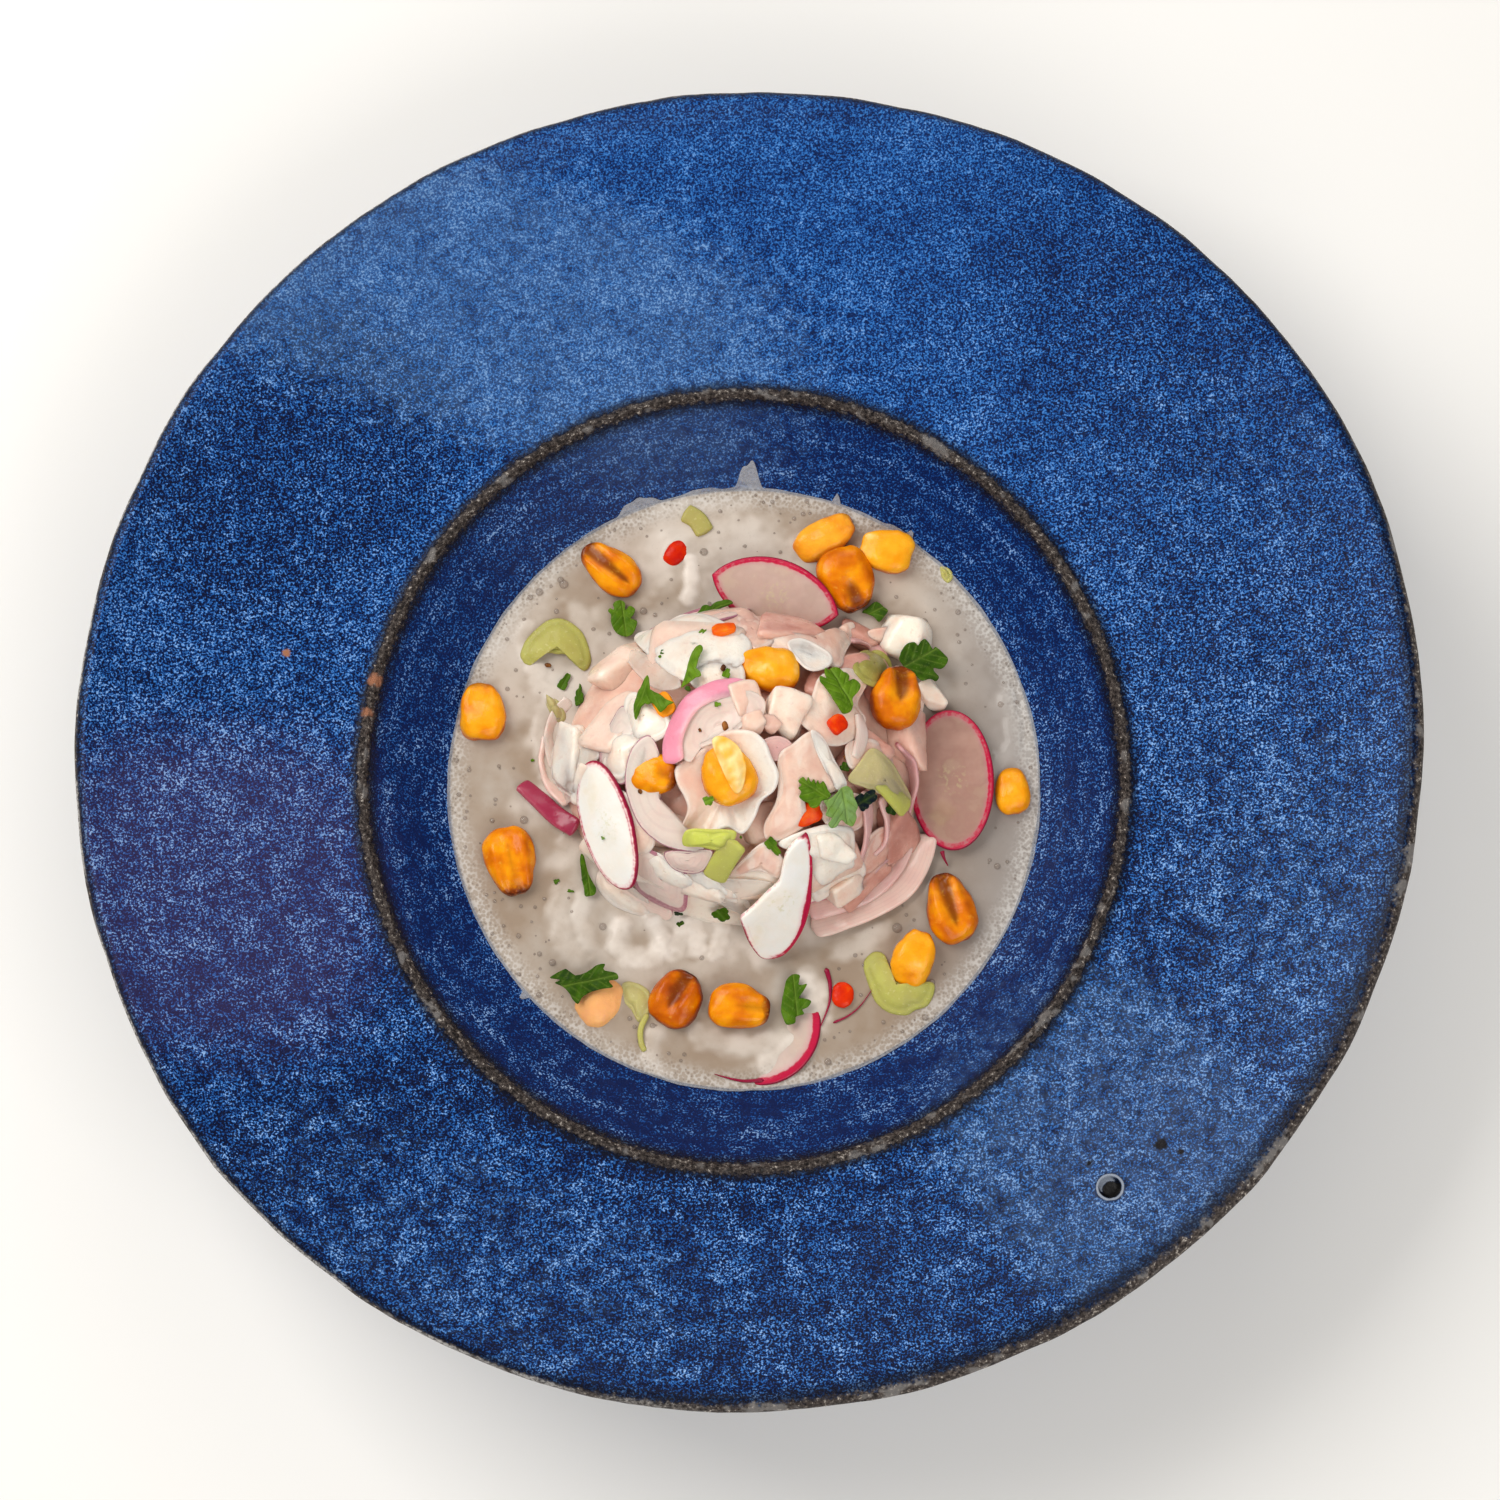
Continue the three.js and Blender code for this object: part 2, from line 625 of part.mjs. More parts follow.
// Petals of fish on and round the summit.
const PETALS = [
  { at: [-3.6, -11], heading: 96, form: { length: 25, width: 20, cup: 4.4, wave: 2.2, seed: 3 }, lift: 0.6, lean: 0.5 },
  { at: [-15, 8], heading: 30, form: { length: 18, width: 13, cup: 1.4, seed: 5 }, lift: 3 },
  { at: [14.4, -3], heading: -50, form: { length: 19, width: 13, cup: 1.4, wave: 2, seed: 8 }, lift: 3.4, lean: 0.7 },
  { at: [-14, -24], heading: 20, form: { length: 20, width: 11, cup: 1.2, wave: 1.8, seed: 11 }, lift: 2.2, lean: 0.7 },
];

// Onion strips joined to the heap: bands that stand on edge.
const STRIPS = [
  {
    at: [-28, -10],
    heading: 100,
    form: { radius: 11, sweep: 190, deep: 1.5, tall: 5 },
    roll: 14,
    lift: 3.4,
    lean: 0.8,
  },
  { at: [-11, 31.4], heading: 6, form: { radius: 24, sweep: 60, deep: 1.5, tall: 5 }, lift: 2.2, lean: 0.4 },
  {
    at: [32.5, -13],
    heading: -100,
    form: { radius: 11, sweep: 110, deep: 1.5, tall: 5 },
    lift: 3,
    lean: 0.5,
  },
  {
    at: [-17, -34.4],
    heading: 190,
    form: { radius: 26, sweep: 50, deep: 1.5, tall: 4 },
    lift: 1.6,
    lean: 0.3,
  },
  {
    at: [20, -35.2],
    heading: 206,
    form: { radius: 18, sweep: 70, deep: 1.5, tall: 4.4 },
    lift: 1.6,
    lean: 0.2,
  },
];

const MATERIALS = {
  plate: new THREE.MeshStandardMaterial({ color: 0x2a4f8c, roughness: 0.35, metalness: 0 }),
  soup: new THREE.MeshStandardMaterial({ color: 0xcbb9a4, roughness: 0.3, metalness: 0 }),
  fish: new THREE.MeshStandardMaterial({ color: 0xf4e4da, roughness: 0.35, metalness: 0 }),
  corn: new THREE.MeshStandardMaterial({ color: 0xf29a12, roughness: 0.35, metalness: 0 }),
  radish: new THREE.MeshStandardMaterial({ color: 0xf3e4dc, roughness: 0.4, metalness: 0 }),
  celery: new THREE.MeshStandardMaterial({ color: 0xbcb76a, roughness: 0.45, metalness: 0 }),
  coriander: new THREE.MeshStandardMaterial({ color: 0x567012, roughness: 0.6, metalness: 0 }),
  chilli: new THREE.MeshStandardMaterial({ color: 0xcc2a0a, roughness: 0.35, metalness: 0 }),
  onion: new THREE.MeshStandardMaterial({ color: 0xd9a0ac, roughness: 0.35, metalness: 0 }),
};

// ---------------------------------------------------------------- plate, soup and heap

/** The stoneware plate: foot ring, bowl, ring ridge and rising brim. */
function plateGeometry() {
  return shaped(turned(plateProfile(), PLATE.segments), throwPoint);
}

/** The broth, up to its level, clear of the bowl. */
function soupGeometry() {
  const profile = [new THREE.Vector2(0, PLATE.floorTop + GAP)];
  for (const r of WALL_STOPS.filter((stop) => bowlHeight(stop) < SOUP_LEVEL + GAP)) {
    profile.push(offWall(r, GAP));
  }
  profile[profile.length - 1].y = SOUP_LEVEL;
  profile.push(new THREE.Vector2(0, SOUP_LEVEL));
  return shaped(turned(profile, PLATE.segments), throwPoint);
}

/** The heap's bare core: an oval dome whose underside stands clear of the bowl. */
function coreGeometry() {
  const [reach, depth] = HEAP.reach;
  const profile = [new THREE.Vector2(0, 0)];
  for (const share of [0.42, 0.8, 0.93]) {
    profile.push(new THREE.Vector2(share * reach, 0));
  }
  for (const share of [0.97, 0.93, 0.78, 0.58, 0.34, 0]) {
    profile.push(new THREE.Vector2(share * reach, SOUP_LEVEL));
  }
  return shaped(turned(profile, 20), (p) => {
    p.x += HEAP.x;
    p.y = (p.y * depth) / reach + HEAP.y;
    p.z = p.z > 1 ? groundHeight(p.x, p.y) : bowlHeight(wellRadius(p.x, p.y)) + 2 * GAP;
  });
}

/** The heap: its core with fish lumps, petals and onion strips joined on, all above the soup. */
function heapSolid() {
  let joined = null;
  const add = (geometry) => {
    joined = joined ? joined.add(solid(geometry)) : solid(geometry);
  };
  LUMPS.forEach((lump, i) => add(laid(lumpForm({ ...lump, seed: i + 1 }), lump)));
  PETALS.forEach((petal) => add(laid(petalForm(petal.form), petal)));
  STRIPS.forEach((strip) => add(laid(bandForm(strip.form), strip)));
  const dry = new THREE.BoxGeometry(200, 200, 60).translate(0, 0, SOUP_LEVEL + 2 * GAP + 30);
  return joined.intersect(solid(dry)).add(solid(coreGeometry()));
}

// ---------------------------------------------------------------- assembly

/** Each loose piece: its name, geometry in place and material, from the uppermost to the lowest. */
function loosePieces() {
  const numbered = (kind, digits, list, form, material) =>
    list.map((piece, i) => ({
      name: `${kind}_${String(i + 1).padStart(digits, '0')}`,
      geometry: laid(form(piece), piece),
      material,
    }));
  return [
    ...numbered('coriander', 2, CORIANDER, (p) => leafForm(p.form), MATERIALS.coriander),
    ...numbered('corn', 2, CORN, kernelForm, MATERIALS.corn),
    ...numbered('chilli', 1, CHILLI, (p) => chipForm(p.form), MATERIALS.chilli),
    ...numbered('radish', 1, RADISH, (p) => sliceForm(p.form), MATERIALS.radish),
    ...numbered('celery', 1, CELERY, (p) => bandForm(p.form), MATERIALS.celery),
    ...numbered('onion', 1, ONION, (p) => bandForm(p.form), MATERIALS.onion),
    ...numbered('fish', 1, CHUNKS, (p) => lumpForm({ ...p, seed: 40 }), MATERIALS.fish),
  ];
}

/** Cuts each solid by the swollen solids before it in the list, and collects the meshes. */
function assemble() {
  const group = new THREE.Group();
  const dish = solid(plateGeometry(), GAP);
  const taken = [];
  for (const { name, geometry, material } of loosePieces()) {
    const form = taken.reduce((left, swollen) => left.subtract(swollen), solid(geometry).subtract(dish));
    group.add(meshOf(name, largest(form), material));
    taken.push(solid(geometry, GAP));
  }
  const loose = taken.reduce((all, swollen) => all.add(swollen));
  group.add(meshOf('heap', largest(heapSolid().subtract(loose)), MATERIALS.fish));
  const soup = solid(soupGeometry()).subtract(loose).subtract(solid(coreGeometry(), GAP));
  group.add(meshOf('soup', largest(soup), MATERIALS.soup));
  group.add(meshOf('plate', solid(plateGeometry()), MATERIALS.plate));
  return group;
}

export default assemble();
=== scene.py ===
"""A plated ceviche: raw fish and red onion heaped in citrus broth, in a wide-brimmed blue stoneware plate.

Every shape is a surface worked out with numpy on a grid of two parameters. Lengths in the shape functions are
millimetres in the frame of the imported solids, +Z up from the table, and each finished mesh is in metres.
Headings are degrees turned from +X towards +Y, and frame pixels are those of the camera's 1500 by 1500
picture.
"""

import math

import bmesh
import bpy
import numpy as np
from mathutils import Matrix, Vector


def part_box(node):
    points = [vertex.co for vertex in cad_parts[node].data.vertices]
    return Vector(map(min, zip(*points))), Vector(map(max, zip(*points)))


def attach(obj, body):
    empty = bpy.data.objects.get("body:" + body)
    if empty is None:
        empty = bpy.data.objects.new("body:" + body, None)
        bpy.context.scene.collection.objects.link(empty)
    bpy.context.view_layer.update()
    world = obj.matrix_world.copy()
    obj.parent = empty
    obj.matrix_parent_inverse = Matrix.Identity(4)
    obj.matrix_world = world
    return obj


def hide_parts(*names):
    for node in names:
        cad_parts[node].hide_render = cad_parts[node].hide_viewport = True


bl_info = {
    "name": "Ceviche Plate",
    "version": (1, 0, 0),
    "blender": (4, 5, 0),
    "location": "View3D > Sidebar > Ceviche",
    "description": "Builds a plated ceviche round its packed solids",
    "category": "Add Mesh",
}

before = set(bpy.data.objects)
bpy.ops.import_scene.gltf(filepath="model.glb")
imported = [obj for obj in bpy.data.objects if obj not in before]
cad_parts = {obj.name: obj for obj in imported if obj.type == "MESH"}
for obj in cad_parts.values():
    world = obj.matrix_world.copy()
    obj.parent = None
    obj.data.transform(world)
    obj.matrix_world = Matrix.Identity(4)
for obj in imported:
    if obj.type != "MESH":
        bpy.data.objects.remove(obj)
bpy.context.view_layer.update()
MM = 0.001
TAU = 2 * math.pi

# ---------------- sizes shared with the solids, in millimetres

RIM_RADIUS, RIM_TOP, RIM_THICKNESS = 145.0, 58.0, 5.6
RING_RADIUS, RING_TOP, RING_HEIGHT, RING_WIDTH = 84.5, 42.0, 1.0, 1.5
FLOOR_TOP, BOWL_POWER, WALL, BRIM_SAG = 11.0, 2.37, 6.6, 2.0
FOOT_OUTER, FOOT_INNER, FOOT_HOLLOW = 54.0, 47.0, 5.0
WELL_OFFSET, WELL_OVAL = np.array([-1.3, -6.9]), 0.017
LOBES = ((2, 1.2, 40), (3, 0.2, 38), (4, 0.3, 42))
BROTH_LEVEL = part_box("soup")[1].z / MM
HEAP_MIDDLE, HEAP_REACH = np.array([-1.5, -3.0]), np.array([40.0, 35.5])
HEAP_HEIGHT, HEAP_POWER, HEAP_SWELL, HEAP_SPACING = 21.5, 0.6, 1.1, 5.5
GAP = 0.3

# The camera looks down on the plate from the eater's side.
ELEVATION, LENS, SENSOR, AIM, DISTANCE, PICTURE = 79.0, 100.0, 36.0, np.array([0.0, -4.6, 58.0]), 892.6, 1500
LOOK = np.array([0, math.cos(math.radians(ELEVATION)), -math.sin(math.radians(ELEVATION))])
SKYWARD = np.array([0, -LOOK[2], LOOK[1]])
EYE = AIM - LOOK * DISTANCE

# ---------------- small mathematics


def smooth(low, high, x):
    """0 below low, 1 above high, and 3t² - 2t³ between them."""
    t = np.clip((x - low) / (high - low), 0, 1)
    return t * t * (3 - 2 * t)


def bent(x, power):
    """x raised to a power with its sign kept: below 1 it squares a circle's sine and cosine."""
    return np.sign(x) * np.abs(x) ** power


# Sine waves in each octave of the noise.
WAVES = 5


def ripple(points, spacing, seed, octaves):
    """Smooth noise, mostly -1 to 1: sines in seeded directions, each octave half as long and strong."""
    draw = np.random.default_rng(seed)
    total = np.zeros(points.shape[:-1])
    for octave in range(octaves):
        ways = draw.normal(size=(WAVES, points.shape[-1]))
        ways /= np.linalg.norm(ways, axis=1, keepdims=True)
        turns = draw.uniform(0, TAU, WAVES)
        total += np.sin(points @ ways.T * (TAU * 2**octave / spacing) + turns).sum(-1) * 0.5**octave
    return total / (1.4 * math.sqrt(WAVES))


def stack(x, y, z):
    """Points from their coordinates, which may be of any shapes that fit together."""
    return np.stack(np.broadcast_arrays(x, y, z), -1).astype(float)


def unit(v):
    """v at length 1."""
    return v / np.maximum(np.linalg.norm(v, axis=-1, keepdims=True), 1e-9)


def curve(anchors, count):
    """A smooth line of count points through anchors: a Catmull-Rom spline with its end steps repeated."""
    p = np.asarray(anchors, float)
    p = np.vstack([2 * p[0] - p[1], p, 2 * p[-1] - p[-2]])
    t = np.linspace(0, len(p) - 3, count)
    i = np.minimum(t.astype(int), len(p) - 4)
    f = (t - i).reshape(-1, 1)
    a, b, c, d = p[i], p[i + 1], p[i + 2], p[i + 3]
    return b + 0.5 * f * (c - a + f * (2 * a - 5 * b + 4 * c - d + f * (3 * (b - c) + d - a)))


def lens(a, b, share):
    """Reach of a shape of half axes a and b: a lens of two arcs by the share, an ellipse by the rest."""
    big = (a * a + b * b) / (2 * b)

    def reach(angle):
        arcs = np.sqrt(big**2 - (big - b) ** 2 * np.cos(angle) ** 2) - (big - b) * np.abs(np.sin(angle))
        return share * arcs + (1 - share) / np.hypot(np.cos(angle) / a, np.sin(angle) / b)

    return reach


def loop(anchors, count):
    """A smooth closed line of count points through a few anchors: the same spline with its ends joined."""
    p = np.asarray(anchors, float)
    t = np.linspace(0, len(p), count, endpoint=False)
    i = t.astype(int)
    f = (t - i).reshape(-1, 1)
    a, b, c, d = (p[(i + k) % len(p)] for k in (-1, 0, 1, 2))
    return b + 0.5 * f * (c - a + f * (2 * a - 5 * b + 4 * c - d + f * (3 * (b - c) + d - a)))


def turned(points, heading, pitch, roll):
    """Points rolled about +X, pitched up about +Y and turned about +Z, in that order, by degrees."""
    for axis, angle in ((0, roll), (1, -pitch), (2, heading)):
        c, s = math.cos(math.radians(angle)), math.sin(math.radians(angle))
        i, j = (axis + 1) % 3, (axis + 2) % 3
        moved = points.copy()
        moved[..., i] = c * points[..., i] - s * points[..., j]
        moved[..., j] = s * points[..., i] + c * points[..., j]
        points = moved
    return points


def along_heading(x, y, at, heading):
    """How far a place is from another, along a heading and across it to the left."""
    c, s = math.cos(math.radians(heading)), math.sin(math.radians(heading))
    return (x - at[0]) * c + (y - at[1]) * s, (y - at[1]) * c - (x - at[0]) * s


# ---------------- the ground that pieces lie on


def ground(x, y):
    """Height of the heap's core, an oval dome with low swells, or of the broth beside it."""
    q = ((x - HEAP_MIDDLE[0]) / HEAP_REACH[0]) ** 2 + ((y - HEAP_MIDDLE[1]) / HEAP_REACH[1]) ** 2
    swell = HEAP_SWELL * np.sin(x / HEAP_SPACING + 1) * np.cos(y / HEAP_SPACING)
    return BROTH_LEVEL + (HEAP_HEIGHT + swell) * np.clip(1 - q, 0, 1) ** HEAP_POWER


def ground_up(x, y, step=4.0):
    """The way up from the ground, from its slopes over a step each way."""
    dx = (ground(x + step, y) - ground(x - step, y)) / (2 * step)
    dy = (ground(x, y + step) - ground(x, y - step)) / (2 * step)
    return unit(stack(-dx, -dy, 1))


def laid(points, at, heading=0, pitch=0, roll=0, lift=0, lean=1.0):
    """Lays a piece on the ground: rolled and pitched, turned to its heading, then leant with the slope."""
    up = Vector(ground_up(*at) * lean + np.array([0, 0, 1 - lean])).normalized()
    tilt = np.array(Vector((0, 0, 1)).rotation_difference(up).to_matrix())
    place = np.array([at[0], at[1], ground(*at) + lift])
    return turned(points, heading, pitch, roll) @ tilt.T + place


def view_ray(u, v):
    """Direction from the camera through a frame pixel."""
    u, v = np.asarray(u, float)[..., None], np.asarray(v, float)[..., None]
    focal = LENS / SENSOR * PICTURE
    return LOOK + (u - PICTURE / 2) / focal * np.array([1.0, 0, 0]) + (PICTURE / 2 - v) / focal * SKYWARD


def meet(u, v, height):
    """Where the camera's ray through a pixel meets a surface z = height(x, y), closed in on by halves."""
    ray = view_ray(u, v)
    z = np.full(ray.shape[:-1], BROTH_LEVEL)
    for _ in range(40):
        p = EYE + ray * ((z - EYE[2]) / ray[..., 2])[..., None]
        z = 0.5 * z + 0.5 * height(p[..., 0], p[..., 1])
    return p


def spot(u, v, lift=0.0):
    """The place on the ground, raised by lift, that the camera shows at a frame pixel."""
    return meet(u, v, lambda x, y: ground(x, y) + lift)


def on_plane(lay, pixels):
    """Frame pixels (u, v, value) carried to the plane of a laid slice: its own x and y, and the value."""
    frame_points = laid(np.vstack([np.zeros(3), np.eye(3)]), **lay)
    axes = frame_points[1:] - frame_points[0]
    table = np.array(pixels, float)
    ray = view_ray(table[:, 0], table[:, 1])
    reach = ((frame_points[0] - EYE) @ axes[2]) / (ray @ axes[2])
    inside = (EYE + ray * reach[:, None] - frame_points[0]) @ axes.T
    return np.column_stack([inside[:, :2], table[:, 2]])


# ---------------- surfaces on grids


def shell_faces(rows, columns):
    """Faces of a closed shell of rows by columns and two poles: quads in closed rows, a fan at each end."""
    index = np.arange(rows * columns).reshape(rows, columns)
    right = np.roll(index, -1, axis=1)
    quads = np.stack([index[:-1], right[:-1], right[1:], index[1:]], -1).reshape(-1, 4)
    first, last = np.full(columns, rows * columns), np.full(columns, rows * columns + 1)
    fans = np.stack([right[0], index[0], first], -1), np.stack([index[-1], right[-1], last], -1)
    return quads, np.concatenate(fans)


def shell(grid, first, last):
    """Points of a closed shell: the grid's rows, then its first and last pole."""
    return np.concatenate([grid.reshape(-1, 3), [first, last]])


def ball(rows, columns):
    """A unit sphere with its poles on X: -cos(a) along, sin(a) round an angle b."""
    a = np.linspace(0, np.pi, rows + 2)[1:-1, None]
    b = np.linspace(0, TAU, columns, endpoint=False)[None]
    grid = stack(-np.cos(a) + 0 * b, np.sin(a) * np.cos(b), np.sin(a) * np.sin(b))
    return shell(grid, [-1, 0, 0], [1, 0, 0])


def with_ends(values, first, last):
    """Values of a grid in a row, then those of its first and last pole."""
    return np.concatenate([np.ravel(values), [first, last]])


# Power that squares the edge of a slice.
BLUNT = 0.75


def plaque(edge, thickness, rings, centre=None):
    """A flat slice inside a closed line: out over its upper face, round its edge, and back below.

    Round the edge the sine and cosine are squared by a power. Returns the grid's flat places, the
    share of the way out and the side (+1 above to -1 below) of each row, and the distance in from the line of
    each point.
    """
    half = thickness / 2
    turn = np.linspace(np.pi / 2, -np.pi / 2, 7)[1:-1]
    out = np.concatenate([[0.02], np.linspace(0, 1, rings + 1)[1:] ** 0.8])
    share = np.concatenate([out, np.ones(5), out[::-1]])[:, None]
    over = np.concatenate([0 * out, bent(np.cos(turn), BLUNT), 0 * out])[:, None]
    side = np.concatenate([1 + 0 * out, bent(np.sin(turn), BLUNT), -1 - 0 * out])[:, None]
    centre = edge.mean(0) if centre is None else centre
    spoke = edge - centre
    reach = np.linalg.norm(spoke, axis=1)
    inner = spoke * (1 - np.minimum(half / reach, 0.5))[:, None]
    flat = centre + share[..., None] * inner + over[..., None] * half * unit(spoke)
    return flat, share, side, (1 - share) * reach + half * (1 - over) * (share == 1)


def slab(edge, thickness, rings, crown=1.0):
    """A flat slice inside a closed line round the origin, thicker in the middle by the factor crown.

    Returns its points, their distances in from the outline and its faces.
    """
    flat, share, side, inset = plaque(edge, thickness, rings, np.zeros(2))
    half = thickness / 2 * (1 + (crown - 1) * (1 - share**2))
    top = thickness / 2 * crown
    points = shell(stack(flat[..., 0], flat[..., 1], side * half), [0, 0, top], [0, 0, -top])
    middle = float(inset.max())
    return points, with_ends(inset, middle, middle), shell_faces(*inset.shape)


def outline(reach, columns):
    """Closed line at reach(angle) round the origin."""
    angle = np.linspace(0, TAU, columns, endpoint=False)
    return reach(angle)[:, None] * np.stack([np.cos(angle), np.sin(angle)], -1)


def oval(a, b, uneven, seed):
    """Reach of an ellipse of half axes a and b at an angle, uneven by a few seeded waves."""
    draw = np.random.default_rng(seed)
    waves = [(k, draw.uniform(0, TAU)) for k in (2, 3, 5, 7)]

    def reach(angle):
        wave = sum(np.sin(k * angle + turn) / k for k, turn in waves)
        return (1 + uneven * wave) / np.hypot(np.cos(angle) / a, np.sin(angle) / b)

    return reach


def sheet(anchors, seed, middle, thickness, cup=2.0, pillow=1.0, relief=0.2, rings=12, columns=84):
    """A sheet draped over the ground inside a closed line through (frame pixel u, v, lift) anchors.

    A point at a share s of the way from the middle to the line is lifted from the middle's lift to the edge's
    by s to the power cup, and waves by a smooth noise. Half the thickness lies on each side along the
    ground's way up, thicker in the middle by the factor pillow and thinner towards the line. Returns points,
    distances in from the outline, shares and faces.
    """
    edge = loop(np.array([[*spot(u, v, lift)[:2], lift] for u, v, lift in anchors]), columns)
    flat, share, side, inset = plaque(edge[:, :2], thickness, rings)
    x, y = flat[..., 0], flat[..., 1]
    lift = middle + (edge[:, 2] - middle) * share**cup
    fine = ripple(flat * np.array([1.0, 0.15]), 2.0, seed + 1, 1)
    wave = relief * ripple(flat, 9.0, seed, 2) + 0.3 * relief * fine
    half = thickness / 2 * (1 + (pillow - 1) * (1 - share**2)) * smooth(-1.4, 2.2, inset)
    grid = stack(x, y, ground(x, y) + lift + wave) + ground_up(x, y) * (side * half)[..., None]
    centre = edge[:, :2].mean(0)
    top = float(ground(*centre)) + middle
    points = shell(grid, [*centre, top + half.max()], [*centre, top - half.max()])
    inner = float(inset.max())
    shares = with_ends(share + 0 * inset, 0, 0)
    return points, with_ends(inset, inner, inner), shares, shell_faces(*inset.shape)


def strip(path, across, width, thickness, columns, nose=0.12, square=0.55):
    """A flat strip carried along a path: a rounded oblong, wide along across, thick along the normal.

    Both are drawn in to a blunt nose over a share of each end. Returns its points, the share across of each,
    from -1 to 1, and its faces.
    """
    along = np.linspace(0, 1, len(path))
    way = unit(np.gradient(path, axis=0))
    across = unit(across - (across * way).sum(-1, keepdims=True) * way)
    normal = np.cross(way, across)
    b = np.linspace(0, TAU, columns, endpoint=False)
    close = np.sqrt(1 - np.clip((np.abs(2 * along - 1) - 1 + nose) / nose, 0, 0.995) ** 2)
    wide = bent(np.cos(b), square)[None] * (np.broadcast_to(width, along.shape) / 2 * close)[:, None]
    thick = bent(np.sin(b), 0.8)[None] * (np.broadcast_to(thickness, along.shape) / 2 * close)[:, None]
    grid = path[:, None] + across[:, None] * wide[..., None] + normal[:, None] * thick[..., None]
    points = shell(grid, path[0], path[-1])
    return points, with_ends(bent(np.cos(b), square) + 0 * wide, 0, 0), shell_faces(len(path), columns)


class Batch:
    """Closed shells gathered to be joined as one piece, with named values at their corners."""

    def __init__(self):
        self.points, self.quads, self.triangles, self.values, self.count = [], [], [], {}, 0

    def add(self, points, faces, **values):
        """Adds a shell. A value may be one number for the whole shell."""
        self.points.append(points)
        self.quads.append(faces[0] + self.count)
        self.triangles.append(faces[1] + self.count)
        for name, value in values.items():
            self.values.setdefault(name, []).append(np.broadcast_to(np.asarray(value, float), len(points)))
        self.count += len(points)

    def piece(self, name, material, slot, *nodes):
        """Makes the joined mesh, its faces turned outwards, and lets it ride in place of its nodes."""
        mesh = bpy.data.meshes.new(name)
        corners = np.concatenate(self.points) * MM
        faces = np.concatenate(self.quads).tolist() + np.concatenate(self.triangles).tolist()
        mesh.from_pydata(corners.tolist(), [], faces)
        for key, parts in self.values.items():
            layer = mesh.attributes.new(key, "FLOAT", "POINT")
            layer.data.foreach_set("value", np.concatenate(parts).astype(np.float32))
        shape = bmesh.new()
        shape.from_mesh(mesh)
        bmesh.ops.recalc_face_normals(shape, faces=shape.faces)
        shape.to_mesh(mesh)
        shape.free()
        mesh.shade_smooth()
        mesh.materials.append(material)
        made = bpy.data.objects.new(name, mesh)
        bpy.context.scene.collection.objects.link(made)
        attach(made, "root")
        if nodes:
            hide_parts(*nodes)
        return made


def numbered(kind, count, digits):
    """Names of a kind's solids, counted from 1."""
    return [f"{kind}_{i:0{digits}d}" for i in range(1, count + 1)]


# ---------------- materials


def tint(code):
    """Linear red, green, blue and alpha of a colour written as rrggbb."""
    shares = [int(code[i : i + 2], 16) / 255 for i in (0, 2, 4)]
    return [s / 12.92 if s <= 0.04045 else ((s + 0.055) / 1.055) ** 2.4 for s in shares] + [1.0]


